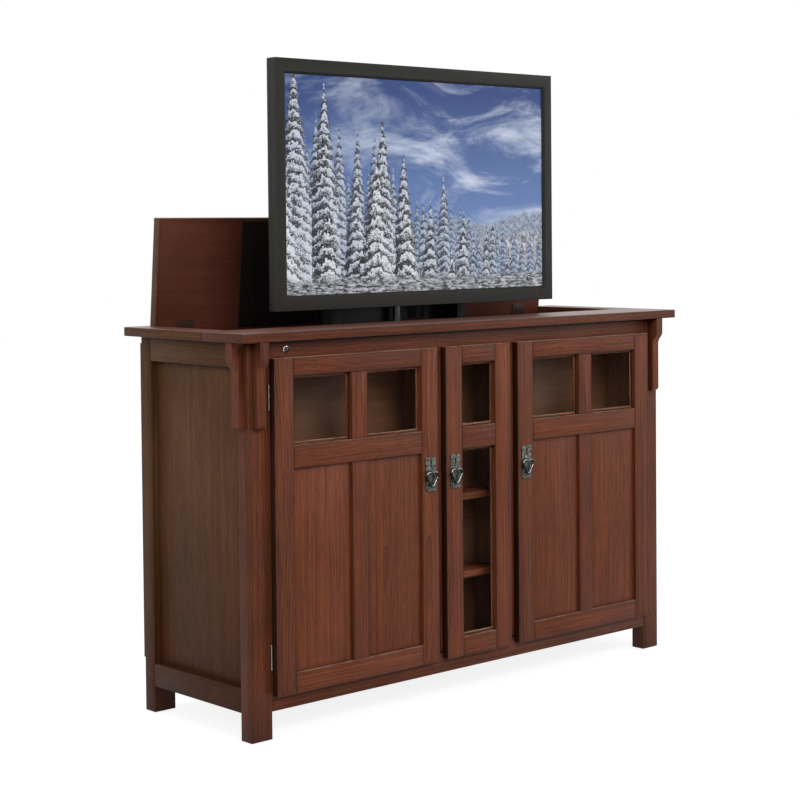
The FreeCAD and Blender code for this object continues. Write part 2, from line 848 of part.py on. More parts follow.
def make_pad(rear):
    """The black pad under the lid that the lift pushes on, notched round the middle hinge."""
    high = case_top - pad_seat_gap
    low = high - pad_thickness
    left = tv_centre_x - pad_half_width
    right = tv_centre_x + pad_half_width
    pad = box(left, right, lid_front + pad_margin, rear - pad_margin, low, high)
    half = lid_hinge_length / 2 + pad_hinge_gap
    notch_front = lid_axis_y - lid_leaf_width - pad_hinge_gap
    for x in lid_hinge_x:
        pad = pad.cut(box(x - half, x + half, notch_front, rear, low, high))
    save("lid_pad", [open_lid(pad)])


# Lift

def make_outer_frame():
    inner = outer_half_width - stage_width
    top = case_top - outer_top_drop
    base = box(-outer_half_width, outer_half_width, base_plate_front, base_plate_back, base_top, base_plate_top)
    upright = upright_tube(inner, outer_half_width, outer_front, outer_back, base_plate_top, top)
    tie_front = outer_back - tie_thickness
    ties = [box(-inner, inner, tie_front, outer_back, low, low + tie_height)
            for low in (case_top - tie_drop, top - tie_height)]
    clamp_front = belt_line + belt_outer + belt_clearance
    clamp_low = case_top - fixed_clamp_drop
    half = pulley_width / 2
    clamp = box(belt_x - half, belt_x + half, clamp_front, tie_front, clamp_low, clamp_low + fixed_clamp_height)
    rail_front = case_back - rear_rail_depth
    stay_low = rear_rail_top - rear_rail_height
    stay = box(stay_x, stay_x + stay_width, outer_back, rail_front, stay_low, stay_low + stay_thickness)
    save_on_lift("lift_outer_frame", [base, clamp] + pair(upright) + ties + pair(stay))


def pulley_cheeks(z, plate_z):
    """Two cheeks with the axle that carries a pulley, on the stage's plate at plate_z."""
    low = min(z, plate_z) - cheek_reach
    high = max(z, plate_z) + cheek_reach
    near = pulley_width / 2 + cheek_gap
    far = near + cheek_thickness
    front = belt_line - cheek_half_depth
    left = box(belt_x - far, belt_x - near, front, stage_back, low, high)
    right = box(belt_x + near, belt_x + far, front, stage_back, low, high)
    return joined([left, right, rod_x(axle_radius, belt_x - far, belt_x + far, belt_line, z)])


def make_middle_stage():
    low_plate_top = middle_bottom + tie_height
    high_plate_low = middle_top - tie_height
    upright = upright_tube(middle_inner, middle_outer, stage_front, stage_back, middle_bottom, middle_top)
    plate_back = stage_back + middle_plate_thickness
    plates = [box(-middle_outer, middle_outer, stage_back, plate_back, low, low + tie_height)
              for low in (middle_bottom, high_plate_low)]
    sheet_back = stage_back + middle_sheet_thickness
    sheets = [box(low, high, stage_back, sheet_back, low_plate_top, high_plate_low)
              for low, high in ((-middle_outer, belt_x - belt_slot), (belt_x + belt_slot, middle_outer))]
    lug = box(-lug_half_width, lug_half_width, belt_line - lug_reach, stage_back,
              high_plate_low, high_plate_low + lug_height)
    cheeks = [pulley_cheeks(upper_pulley_z, high_plate_low), pulley_cheeks(lower_pulley_z, low_plate_top)]
    save_on_lift("lift_middle_stage", pair(upright) + [lug] + plates + sheets + cheeks)
    rod_low = case_top - actuator_top_drop - rod_overlap
    bar = rod(rod_radius, Vector(0, belt_line, rod_low), Vector(0, belt_line, high_plate_low))
    save_on_lift("lift_actuator_rod", [bar])


def belt_block(radius, half_width):
    """A solid that reaches that radius round both pulleys and the run between them."""
    left = belt_x - half_width
    right = belt_x + half_width
    ends = [rod_x(radius, left, right, belt_line, z) for z in (lower_pulley_z, upper_pulley_z)]
    run = box(left, right, belt_line - radius, belt_line + radius, lower_pulley_z, upper_pulley_z)
    return joined([run] + ends)


def make_belt():
    loop = belt_block(belt_outer, belt_width / 2).cut(belt_block(belt_inner, belt_width))
    save_on_lift("lift_belt", [loop])
    half = pulley_width / 2
    left = belt_x - half
    right = belt_x + half
    for name, z in (("upper_pulley", upper_pulley_z), ("lower_pulley", lower_pulley_z)):
        rim = pulley_radius + pulley_flange
        pieces = [rod_x(pulley_radius, left, right, belt_line, z),
                  rod_x(rim, left, left + pulley_flange_width, belt_line, z),
                  rod_x(rim, right - pulley_flange_width, right, belt_line, z)]
        bore = rod_x(axle_radius + axle_clearance, left - 1.0, right + 1.0, belt_line, z)
        save_on_lift(name, [joined(pieces).cut(bore)])


def push_arm(inner, bar_top):
    """A slanting strap from the end of the upper crossbar back towards the lid."""
    end_z = case_top + push_arm_rise
    half = push_arm_height / 2
    points = [
        Vector(inner, crossbar_front, bar_top),
        Vector(inner, crossbar_front, bar_top - push_arm_height),
        Vector(inner, stage_front, bar_top - push_arm_height),
        Vector(inner, push_arm_y, end_z - half),
        Vector(inner, push_arm_y, end_z + half),
        Vector(inner, stage_front, bar_top),
    ]
    strap = Part.Face(Part.makePolygon(points + points[:1])).extrude(Vector(push_arm_thickness, 0, 0))
    return joined([strap, rod_x(push_arm_end_radius, inner, inner + push_arm_thickness, push_arm_y, end_z)])


def make_carriage():
    upright = upright_tube(carriage_inner, carriage_outer, stage_front, stage_back,
                           case_top + carriage_low_rise, carriage_top)
    low_z = case_top + low_crossbar_rise
    low_bar = box(-carriage_outer, carriage_outer, crossbar_front, stage_front, low_z, low_z + crossbar_height)
    arm_inner = outer_half_width + push_arm_clearance
    high_z = carriage_top - high_crossbar_drop
    high_bar = box(-arm_inner, arm_inner, crossbar_front, stage_front, high_z, high_z + crossbar_height)
    half = pulley_width / 2
    clamp_back = belt_line - belt_outer - belt_clearance
    clamp_low = case_top + carriage_clamp_rise
    clamp_high = clamp_low + carriage_clamp_height
    tab = box(belt_x - half, belt_x + half, crossbar_front, clamp_back, low_z + crossbar_height, clamp_high)
    tab = tab.cut(box(belt_x - half, belt_x + half, stage_front - 1.0, clamp_back, low_z, clamp_low))
    arm = push_arm(arm_inner, high_z + crossbar_height)
    save_on_lift("lift_carriage", [low_bar, high_bar, tab] + pair(upright) + pair(arm))


def make_actuator():
    gearbox_top = base_plate_top + gearbox_height
    half = gearbox_width / 2
    gearbox = board(-half, half, belt_line - actuator_half_depth, belt_line + actuator_half_depth,
                    base_plate_top, gearbox_top)
    tube_foot = Vector(0, belt_line, gearbox_top)
    tube_head = Vector(0, belt_line, case_top - actuator_top_drop)
    tube = rod(actuator_radius, tube_foot, tube_head).cut(rod(actuator_bore, tube_foot, tube_head))
    motor_z = base_plate_top + gearbox_height / 2
    motor_end = -half - motor_length
    motor = rod_x(motor_radius, motor_end, -half, belt_line, motor_z)
    end_edges = [edge for edge in motor.Edges if abs(edge.CenterOfMass.x - motor_end) < 0.01]
    motor = motor.makeFillet(motor_end_radius, end_edges)
    save_on_lift("lift_actuator", [gearbox, tube, motor])


def make_control_box():
    left = control_box_inset - post_inner
    back = case_back - control_box_rear_gap
    save("lift_control_box", [board(left, left + control_box_length, back - control_box_depth, back,
                                    base_top, base_top + control_box_height)])


# Television, drawn on the lift's own middle

def window_flare(half, low, high):
    """The chamfer round the screen opening, as a block that narrows towards the back."""
    wires = []
    for extra, y in ((tv_bezel_chamfer, tv_front), (0.0, tv_front + tv_bezel_chamfer)):
        corners = [Vector(-half - extra, y, low - extra), Vector(half + extra, y, low - extra),
                   Vector(half + extra, y, high + extra), Vector(-half - extra, y, high + extra)]
        wires.append(Part.makePolygon(corners + corners[:1]))
    return Part.makeLoft(wires, True, True)


def make_bezel_and_screen():
    half = tv_width / 2
    top = tv_bottom + tv_height
    back = tv_front + tv_bezel_depth
    open_half = half - tv_bezel_side
    open_low = tv_bottom + tv_bezel_top
    open_high = top - tv_bezel_top
    blank = board(-half, half, tv_front, back, tv_bottom, top)
    window = box(-open_half, open_half, tv_front - 1.0, back, open_low, open_high)
    screen_front = tv_front + tv_screen_recess
    screen_back = screen_front + tv_screen_thickness
    screen_half = open_half + tv_screen_lap
    screen_low = open_low - tv_screen_lap
    screen_high = open_high + tv_screen_lap
    seat = box(-screen_half, screen_half, screen_front, back, screen_low, screen_high)
    bezel = blank.cut([window, window_flare(open_half, open_low, open_high), seat])
    save_on_lift("tv_bezel", [bezel])
    save_on_lift("tv_screen", [box(-screen_half, screen_half, screen_front, screen_back, screen_low, screen_high)])


def make_back_cover():
    half = tv_width / 2
    top = tv_bottom + tv_height
    front = tv_front + tv_bezel_depth
    cover = box(-half, half, front, tv_back, tv_bottom, top)
    rear_edges = [edge for edge in cover.Edges if abs(edge.CenterOfMass.y - tv_back) < 0.01]
    cover = cover.makeChamfer(tv_back_taper, rear_edges)
    margin = tv_shell_wall + tv_back_taper
    hollow = box(-half + margin, half - margin, front, tv_back - tv_shell_wall, tv_bottom + margin, top - margin)
    save_on_lift("tv_back_cover", [cover.cut(hollow)])


def make_bracket():
    front = crossbar_front - bracket_plate_thickness
    half = bracket_spacing / 2
    outer = half + bracket_rail_width
    low = case_top + bracket_low_rise
    high = case_top + bracket_high_rise
    plate = box(-outer, outer, front, crossbar_front, low, high)
    rail_low = case_top + bracket_rail_low_rise
    rail_high = case_top + bracket_rail_high_rise
    rail = box(half - bracket_rail_width / 2, half + bracket_rail_width / 2, tv_back, front, rail_low, rail_high)
    save_on_lift("tv_mount_bracket", [plate] + pair(rail))


def make_case():
    make_top()
    make_posts()
    make_side_frames()
    make_face_frame()
    make_rear_rails()
    make_bottom_boards()
    make_bulkhead()
    make_dividers()
    make_shelves()
    make_back_panel()
    make_corbels()
    make_eye()
    make_plugs()
    make_case_hinges()
    make_catches()


def make_lift():
    make_outer_frame()
    make_middle_stage()
    make_belt()
    make_carriage()
    make_actuator()
    make_control_box()
    make_bezel_and_screen()
    make_back_cover()
    make_bracket()


os.makedirs("parts", exist_ok=True)
make_case()
for door in door_axes():
    make_door(*door)
make_lid()
make_lift()
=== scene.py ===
import json
import math
import random

import bpy
from mathutils import Matrix, Vector

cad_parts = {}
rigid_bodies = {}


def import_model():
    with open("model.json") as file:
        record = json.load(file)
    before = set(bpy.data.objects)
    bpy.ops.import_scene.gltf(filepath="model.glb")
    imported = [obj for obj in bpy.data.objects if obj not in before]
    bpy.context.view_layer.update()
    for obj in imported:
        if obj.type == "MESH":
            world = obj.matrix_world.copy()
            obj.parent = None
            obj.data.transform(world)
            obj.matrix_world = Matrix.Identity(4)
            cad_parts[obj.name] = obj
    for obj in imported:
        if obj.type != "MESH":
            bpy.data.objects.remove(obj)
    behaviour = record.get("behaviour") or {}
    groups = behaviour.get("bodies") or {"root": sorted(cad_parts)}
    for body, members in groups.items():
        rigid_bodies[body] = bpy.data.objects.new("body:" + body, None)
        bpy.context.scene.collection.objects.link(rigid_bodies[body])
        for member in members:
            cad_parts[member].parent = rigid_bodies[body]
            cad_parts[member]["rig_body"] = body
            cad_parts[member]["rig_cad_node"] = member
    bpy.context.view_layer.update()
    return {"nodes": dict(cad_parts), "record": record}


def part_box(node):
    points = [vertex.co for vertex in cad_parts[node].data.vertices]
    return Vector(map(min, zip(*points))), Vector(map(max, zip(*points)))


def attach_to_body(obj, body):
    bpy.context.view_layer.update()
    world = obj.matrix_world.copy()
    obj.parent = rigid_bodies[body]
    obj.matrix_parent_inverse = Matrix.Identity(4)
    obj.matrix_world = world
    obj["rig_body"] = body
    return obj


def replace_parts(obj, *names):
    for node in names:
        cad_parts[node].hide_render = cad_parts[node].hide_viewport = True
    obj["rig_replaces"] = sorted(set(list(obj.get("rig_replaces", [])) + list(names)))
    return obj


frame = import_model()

dice = random.Random(11)
nodes = frame["nodes"]
bodyOf = {node: body for body, members in frame["record"]["behaviour"]["bodies"].items() for node in members}
doorSides = ("left", "centre", "right")

cameraValues = {
    "place": (-3.2383, -3.5243, 1.1760),  # metres
    "yaw": 0.7334,
    "pitch": -0.0331,
    "roll": -0.0090,
    "lens": 83.01,
    "sensor": 36.0,
    "shiftY": -0.14,
    "reach": 60.0,
}


def makeCamera(v):
    yaw, pitch, roll = v["yaw"], v["pitch"], v["roll"]
    ahead = Vector((math.sin(yaw) * math.cos(pitch), math.cos(yaw) * math.cos(pitch), math.sin(pitch)))
    level = Vector((math.cos(yaw), -math.sin(yaw), 0))
    upward = level.cross(ahead)
    axisX = level * math.cos(roll) + upward * math.sin(roll)
    axisY = upward * math.cos(roll) - level * math.sin(roll)
    data = bpy.data.cameras.new("viewCamera")
    camera = bpy.data.objects.new("viewCamera", data)
    bpy.context.scene.collection.objects.link(camera)
    turn = Matrix((axisX, axisY, -ahead)).transposed().to_4x4()
    camera.matrix_world = Matrix.Translation(v["place"]) @ turn
    data.lens = v["lens"]
    data.sensor_width = v["sensor"]
    data.shift_y = v["shiftY"]
    data.clip_end = v["reach"]
    bpy.context.scene.camera = camera


makeCamera(cameraValues)
print("camera placed")


def deselectAll():
    if bpy.context.mode != "OBJECT":
        bpy.ops.object.mode_set(mode="OBJECT")
    bpy.ops.object.select_all(action="DESELECT")


def activate(obj):
    deselectAll()
    obj.select_set(True)
    bpy.context.view_layer.objects.active = obj


def editAll(obj):
    # into edit mode with everything selected
    activate(obj)
    bpy.ops.object.mode_set(mode="EDIT")
    bpy.ops.mesh.select_all(action="SELECT")


def applyModifiers(obj):
    activate(obj)
    for modifier in list(obj.modifiers):
        bpy.ops.object.modifier_apply(modifier=modifier.name)


def settle(obj):
    # puts the object at the origin and its place into the mesh
    activate(obj)
    bpy.ops.object.transform_apply(location=True, rotation=True, scale=True)
    return obj


def softenEdges(obj, width, segments=2, angle=35):
    bevel = obj.modifiers.new("edges", "BEVEL")
    bevel.width = width
    bevel.segments = segments
    bevel.limit_method = "ANGLE"
    bevel.angle_limit = math.radians(angle)
    applyModifiers(obj)


def smoothShade(obj, angle=35):
    activate(obj)
    bpy.ops.object.shade_smooth_by_angle(angle=math.radians(angle))
    return obj


def joinAs(name, objects):
    activate(objects[0])
    for other in objects[1:]:
        other.select_set(True)
    if len(objects) > 1:
        bpy.ops.object.join()
    objects[0].name = name
    objects[0].data.name = name
    return objects[0]


def addBox(low, high, bevel=0.0, segments=2):
    low, high = Vector(low), Vector(high)
    deselectAll()
    bpy.ops.mesh.primitive_cube_add(size=1, location=(low + high) / 2, scale=high - low)
    obj = settle(bpy.context.object)
    if bevel:
        softenEdges(obj, bevel, segments)
    return obj


def addRod(radius, start, end, sides=24, bevel=0.0, segments=2):
    start, end = Vector(start), Vector(end)
    axis = end - start
    deselectAll()
    turn = axis.to_track_quat("Z", "Y").to_euler()
    bpy.ops.mesh.primitive_cylinder_add(vertices=sides, radius=radius, depth=axis.length,
                                        location=(start + end) / 2, rotation=turn)
    obj = settle(bpy.context.object)
    if bevel:
        softenEdges(obj, bevel, segments, 50)
    return obj


past = 0.01  # how far a cutter reaches past what it cuts


def carve(obj, cutters):
    # takes the cutters' shape out of the piece
    cutter = joinAs("cutter", cutters)
    activate(obj)
    modifier = obj.modifiers.new("carve", "BOOLEAN")
    modifier.operation = "DIFFERENCE"
    modifier.solver = "EXACT"
    modifier.object = cutter
    applyModifiers(obj)
    bpy.data.objects.remove(cutter, do_unlink=True)
    return obj


def duplicate(obj):
    # a copy with its own mesh
    twin = obj.copy()
    twin.data = obj.data.copy()
    bpy.context.scene.collection.objects.link(twin)
    return twin


def copiesAt(obj, spots, turn=(0, 0, 0), scale=1.0):
    # settled copies of a small part, one at every spot
    copies = []
    for spot in spots:
        twin = duplicate(obj)
        twin.scale = (scale, scale, scale)
        twin.rotation_euler = turn
        twin.location = spot
        copies.append(settle(twin))
    return copies


def copyNode(node, name, bevel=0.0, segments=2):
    # a merged copy of a CAD node, with its sharp edges softened
    twin = duplicate(nodes[node])
    twin.parent = None
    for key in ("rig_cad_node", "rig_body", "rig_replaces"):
        if key in twin:
            del twin[key]
    twin.hide_render = False
    twin.hide_viewport = False
    twin.name = name
    twin.data.name = name
    editAll(twin)
    bpy.ops.mesh.remove_doubles(threshold=0.00002)
    bpy.ops.mesh.tris_convert_to_quads(face_threshold=math.radians(1), shape_threshold=math.radians(40))
    bpy.ops.mesh.dissolve_limited(angle_limit=math.radians(0.5))
    bpy.ops.object.mode_set(mode="OBJECT")
    if bevel:
        softenEdges(twin, bevel, segments)
    return smoothShade(twin)


gridSteps = 20000  # to the metre, for points that count as one


def islandsOf(mesh):
    # groups of vertex indices, one for every separate solid
    spots = {}
    parent = []

    def find(i):
        while parent[i] != i:
            parent[i] = parent[parent[i]]
            i = parent[i]
        return i

    ids = []
    for vertex in mesh.vertices:
        key = tuple(round(c * gridSteps) for c in vertex.co)
        if key not in spots:
            spots[key] = len(parent)
            parent.append(len(parent))
        ids.append(spots[key])
    for polygon in mesh.polygons:
        first = find(ids[polygon.vertices[0]])
        for index in polygon.vertices[1:]:
            parent[find(ids[index])] = first
    groups = {}
    for index, spot in enumerate(ids):
        groups.setdefault(find(spot), []).append(index)
    return list(groups.values())


def boxAround(points):
    low = Vector([min(p[k] for p in points) for k in range(3)])
    high = Vector([max(p[k] for p in points) for k in range(3)])
    return low, high


def boxOf(mesh, indices):
    return boxAround([mesh.vertices[i].co for i in indices])


def boxesOf(node):
    mesh = nodes[node].data
    boxes = [boxOf(mesh, group) for group in islandsOf(mesh)]
    return sorted(boxes, key=lambda pair: tuple(round(c, 4) for c in pair[0]))


finishes = {}  # every material of the cabinet, by its name


def attach(obj, node, finish, stands=True):
    # rides on the node's body, takes its slot, and stands for it
    obj.data.materials.clear()
    obj.data.materials.append(finishes[finish])
    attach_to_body(obj, bodyOf[node])
    if stands:
        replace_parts(obj, node)


def fit(name, parts, node, finish, stands=True, angle=30):
    # joins the parts into one finished piece
    attach(smoothShade(joinAs(name, parts), angle), node, finish, stands)


class Signal:
    # an output in a node tree, to be reckoned with like a number
    def __init__(self, tree, socket):
        self.tree = tree
        self.socket = socket

    def __add__(self, other):
        return maths("ADD", self, other)

    def __sub__(self, other):
        return maths("SUBTRACT", self, other)

    def __mul__(self, other):
        return maths("MULTIPLY", self, other)

    def __truediv__(self, other):
        return maths("DIVIDE", self, other)


def add(tree, kind, **settings):
    node = tree.nodes.new(kind)
    for key, value in settings.items():
        setattr(node, key, value)
    return node


def feed(socket, value):
    if isinstance(value, Signal):
        value.tree.links.new(value.socket, socket)
    elif isinstance(value, tuple) and socket.type == "RGBA":
        socket.default_value = (*value, 1.0)
    else:
        socket.default_value = value


def source(tree, kind, output, **settings):
    # the output of a node that takes nothing in
    return Signal(tree, add(tree, kind, **settings).outputs[output])


def nodeFrom(kind, values, output=0, **settings):
    # adds a node beside the first signal among its values, and gives its output
    tree = next(value.tree for value in values.values() if isinstance(value, Signal))
    node = add(tree, kind, **settings)
    for key, value in values.items():
        feed(node.inputs[key], value)
    return Signal(tree, node.outputs[output])


def maths(operation, *values, clamp=False):
    return nodeFrom("ShaderNodeMath", dict(enumerate(values)), operation=operation, use_clamp=clamp)


def vectorMaths(operation, *values):
    return nodeFrom("ShaderNodeVectorMath", dict(enumerate(values)), operation=operation)


def remap(value, fromLow, fromHigh, toLow=0.0, toHigh=1.0, smooth=False):
    values = dict(enumerate((value, fromLow, fromHigh, toLow, toHigh)))
    steps = "SMOOTHSTEP" if smooth else "LINEAR"
    return nodeFrom("ShaderNodeMapRange", values, clamp=True, interpolation_type=steps)


def blendColour(share, first, second, kind="MIX"):
    return nodeFrom("ShaderNodeMix", {0: share, 6: first, 7: second}, 2, data_type="RGBA", blend_type=kind)


def tinted(colour, tint):
    return blendColour(1.0, colour, tint, "MULTIPLY")


def noise(place, scale, detail=3.0, rough=0.55, distortion=0.0):
    values = {"Vector": place, "Scale": scale, "Detail": detail, "Roughness": rough, "Distortion": distortion}
    return nodeFrom("ShaderNodeTexNoise", values, "Fac")


def mapped(place, scale, shift=(0, 0, 0), turn=(0, 0, 0)):
    values = {"Vector": place, "Location": shift, "Rotation": turn, "Scale": scale}
    return nodeFrom("ShaderNodeMapping", values)


def drawnNoise(place, scales, detail, rough):
    # noise with its own scale along each axis
    return noise(mapped(place, scales), 1.0, detail, rough)


def objectPlace(tree):
    return source(tree, "ShaderNodeTexCoord", "Object")


def split(vector):
    node = add(vector.tree, "ShaderNodeSeparateXYZ")
    feed(node.inputs[0], vector)
    return [Signal(vector.tree, output) for output in node.outputs]


def combined(*values):
    return nodeFrom("ShaderNodeCombineXYZ", dict(enumerate(values)))


socketKinds = {float: "NodeSocketFloat", tuple: "NodeSocketColor", Vector: "NodeSocketVector"}
surfaceOutputs = {"Color": tuple, "Roughness": float, "Height": float}


def newGroup(name, inputs, outputs=surfaceOutputs):
    # a shared effect: its tree, and its inputs as signals
    group = bpy.data.node_groups.new(name, "ShaderNodeTree")
    for title, default in inputs.items():
        kind = socketKinds[type(default)]
        socket = group.interface.new_socket(name=title, in_out="INPUT", socket_type=kind)
        socket.default_value = (*default, 1.0) if isinstance(default, tuple) else default
    for title, kind in outputs.items():
        group.interface.new_socket(name=title, in_out="OUTPUT", socket_type=socketKinds[kind])
    given = group.nodes.new("NodeGroupInput").outputs
    return group, {title: Signal(group, given[title]) for title in inputs}


def putOut(group, **results):
    out = group.nodes.new("NodeGroupOutput").inputs
    for title, result in results.items():
        feed(out[title], result)
    return group


def useGroup(tree, group, **values):
    node = add(tree, "ShaderNodeGroup", node_tree=group)
    for key, value in values.items():
        feed(node.inputs[key], value)
    return {output.name: Signal(tree, output) for output in node.outputs}


shaderSockets = {"baseColour": "Base Color", "roughness": "Roughness", "metallic": "Metallic",
                 "specular": "Specular IOR Level", "coat": "Coat Weight", "coatRoughness": "Coat Roughness",
                 "transmission": "Transmission Weight", "ior": "IOR", "emission": "Emission Color",
                 "glow": "Emission Strength"}


def dress(shader, **values):
    for key, value in values.items():
        feed(shader.inputs[shaderSockets[key]], value)


def newMaterial(name, **plain):
    # plain: numbers and colours that are the same all over
    material = finishes[name] = bpy.data.materials.new(name)
    material.use_nodes = True
    shader = material.node_tree.nodes["Principled BSDF"]
    dress(shader, **plain)
    return material.node_tree, shader


def bump(shader, height, distance, strength):
    values = {"Strength": strength, "Distance": distance, "Height": height}
    feed(shader.inputs["Normal"], nodeFrom("ShaderNodeBump", values))


def effectMaterial(name, group, values, depth, strength, **plain):
    # colour, roughness and relief come from a shared effect
    tree, shader = newMaterial(name, **plain)
    effect = useGroup(tree, group, **values)
    dress(shader, baseColour=effect["Color"], roughness=effect["Roughness"])
    bump(shader, effect["Height"], depth, strength)


def makeBoxEdges():
    # how far a point on a box is from the box's nearest edge, in metres
    inputs = {"place": Vector((0, 0, 0)), "half": Vector((1, 1, 1))}
    tree, given = newGroup("boxEdges", inputs, {"Distance": float})
    x, y, z = split(vectorMaths("SUBTRACT", given["half"], vectorMaths("ABSOLUTE", given["place"])))
    lower = maths("MINIMUM", x, y)
    upper = maths("MAXIMUM", x, y)
    return putOut(tree, Distance=maths("MAXIMUM", lower, maths("MINIMUM", upper, z)))


oakInputs = {  # what a wood may change, with the usual values
    "light": (0.205, 0.058, 0.0235), "dark": (0.070, 0.0170, 0.0072), "wornAndLit": (0.33, 0.19, 0.115),
    "contrast": 1.25, "joint": 0.55, "rubAndGlint": 0.35, "topHighlight": 0.0, "topShade": 0.0, "edgeShade": 0.0,
    "ledgeHighlight": 0.0, "figure": 1.0, "floorShadeTop": 0.13, "floorShadeTint": (0.68, 0.66, 0.645),
}
oakValues = {  # the same in every wood
    "ringsPerMetre": 128.0, "pithBeside": 0.05, "pithBelow": 0.03, "poreTint": (0.34, 0.28, 0.27),
    "fleckTint": (1.5, 1.42, 1.3), "jointTint": (0.24, 0.2, 0.2), "shadeTint": (0.07, 0.07, 0.08),
    "jointWidth": 0.0024, "nearEdgeWidth": 0.016,
}
boardMarks = ("boardPlace", "boardHalf", "wholePlace", "wholeHalf")  # kept on every board's points


def makeOakGrain(v):
    tree, given = newGroup("oakGrain", oakInputs)
    place, half, wholePlace, wholeHalf = [
        source(tree, "ShaderNodeAttribute", "Vector", attribute_name=name) for name in boardMarks]
    seed = source(tree, "ShaderNodeAttribute", "Fac", attribute_name="boardSeed")
    spot = vectorMaths("ADD", place, combined(seed * 1.31, seed * 0.77, seed * 0.43))
    # long slow bends of the fibres, and growth rings round a pith that lies off the board
    bend = drawnNoise(spot, (2.4, 9, 9), 2.0, 0.5) - 0.5
    unused, broad, thick = split(place)
    across = bend * 0.065 + broad + maths("SINE", seed * 7.3) * v["pithBeside"]
    through = thick + v["pithBelow"]
    ring = maths("SQRT", across * across + through * through)
    growth = maths("POWER", maths("FRACT", (ring + bend * 0.02) * v["ringsPerMetre"] + seed), 2.2)
    fibres = drawnNoise(spot, (7, 330, 330), 5.0, 0.7)
    streaks = drawnNoise(spot, (2.2, 105, 105), 3.0, 0.6)
    pores = remap(drawnNoise(spot, (38, 1100, 1100), 2.0, 0.5), 0.55, 0.68)
    flecks = remap(drawnNoise(spot, (120, 260, 260), 3.0, 0.6), 0.56, 0.72)
    mottle = drawnNoise(spot, (5, 9, 9), 3.0, 0.6)
    tone = fibres * 0.60 + streaks * 0.40 - growth * given["figure"] * 0.14
    tone = remap((tone - 0.47) * given["contrast"] + 0.5, 0.27, 0.73)
    colour = blendColour(tone, given["dark"], given["light"])
    # every board a little lighter or darker than the next
    level = (maths("SINE", seed * 5.17) * 0.10 + 0.95) * remap(mottle, 0.3, 0.7, 0.84, 1.16)
    colour = tinted(colour, combined(*[maths("POWER", level, power) for power in (1.0, 1.08, 1.14)]))
    # painted shade: the colour is darker towards the floor
    floorShade = remap(split(objectPlace(tree))[2] / given["floorShadeTop"], 0.0, 1.0, 1.0, 0.0, True)
    colour = blendColour(floorShade, colour, tinted(colour, given["floorShadeTint"]))
    colour = blendColour(pores * (given["contrast"] * 0.55), colour, tinted(colour, v["poreTint"]))
    colour = blendColour(flecks * 0.28, colour, tinted(colour, v["fleckTint"]))
    # the colour darkens in the joints, and slightly towards every board's edges
    uneven = drawnNoise(spot, (30, 90, 90), 3.0, 0.6)
    near = uneven * -0.0016 + useGroup(tree, boxEdges, place=place, half=half)["Distance"]
    joint = remap(near, 0.0, v["jointWidth"], 1.0, 0.0, True) * given["joint"]
    nearEdgeDark = remap(near, 0.0, v["nearEdgeWidth"], 1.0, 0.0, True) * 0.22
    colour = blendColour(maths("MAXIMUM", joint, nearEdgeDark), colour, tinted(colour, v["jointTint"]))
    # a shadow lies under the top and in the gaps beside the doors
    fromTop = split(wholeHalf)[2] - split(wholePlace)[2]
    fromSide = split(wholeHalf)[0] - maths("ABSOLUTE", split(wholePlace)[0])
    dim = maths("MAXIMUM", remap(fromTop, 0.004, 0.0095, 1.0, 0.0, True) * given["topShade"],
                remap(fromSide, 0.0008, 0.0022, 1.0, 0.0) * given["edgeShade"])
    colour = blendColour(dim, colour, tinted(colour, v["shadeTint"]))
    # the outer edges are lighter from rubbing and a painted highlight; the top and the ledges get a painted
    # highlight
    outline = uneven * -0.0014 + useGroup(tree, boxEdges, place=wholePlace, half=wholeHalf)["Distance"]
    rubAndHighlight = remap(outline, -0.0008, 0.0008, 1.0, 0.0, True) * given["rubAndGlint"]
    fromLedge = split(half)[1] - broad
    top = maths("MAXIMUM", remap(fromTop, 0.0004, 0.0016, 1.0, 0.0) * given["topHighlight"],
                remap(fromLedge, 0.0003, 0.0014, 1.0, 0.0) * given["ledgeHighlight"])
    top = top * remap(drawnNoise(spot, (26, 40, 40), 4.0, 0.7), 0.36, 0.56, 0.25, 1.0)
    colour = blendColour(maths("MAXIMUM", rubAndHighlight, top, clamp=True), colour, given["wornAndLit"])
    rough = fibres * 0.2 + 0.34 + pores * 0.2
    return putOut(tree, Color=colour, Roughness=rough, Height=fibres * 0.45 - pores * 0.6)


def makeFineSpeckle():
    # moulded or powder coated surface: an even fine grain with a few scuffs
    tree, given = newGroup("fineSpeckle", {"grain": 1800.0, "tint": (0.03, 0.03, 0.03), "spread": 0.2})
    spot = objectPlace(tree)
    grain = noise(spot, given["grain"], 2.0, 0.5)
    slow = noise(spot, 9.0, 3.0, 0.6)
    scuff = remap(noise(mapped(spot, (40, 40, 9), turn=(0.3, 0.2, 0.5)), 1.0, 4.0, 0.7), 0.64, 0.76)
    level = (grain - 0.5) * given["spread"] + remap(slow, 0.3, 0.7, 0.85, 1.15)
    colour = tinted(given["tint"], combined(level, level, level))
    colour = blendColour(scuff * 0.12, colour, (0.3, 0.3, 0.29))
    return putOut(tree, Color=colour, Roughness=slow * 0.2 + 0.32, Height=grain)


def makeBrushed():
    # fine lines left by a brush, with handling marks
    tree, given = newGroup("brushedLines", {"tint": (0.6, 0.59, 0.56)})
    spot = objectPlace(tree)
    lines = drawnNoise(spot, (900, 900, 40), 3.0, 0.6)
    marks = noise(spot, 55.0, 4.0, 0.65)
    handled = tinted(given["tint"], (0.55, 0.52, 0.48))
    colour = blendColour(remap(marks, 0.35, 0.7, 0.0, 0.5), given["tint"], handled)
    return putOut(tree, Color=colour, Roughness=marks * 0.25 + lines * 0.15 + 0.12, Height=lines)


boxEdges = makeBoxEdges()
oakGrain = makeOakGrain(oakValues)
fineSpeckle = makeFineSpeckle()
brushedLines = makeBrushed()
print("shared effects made")

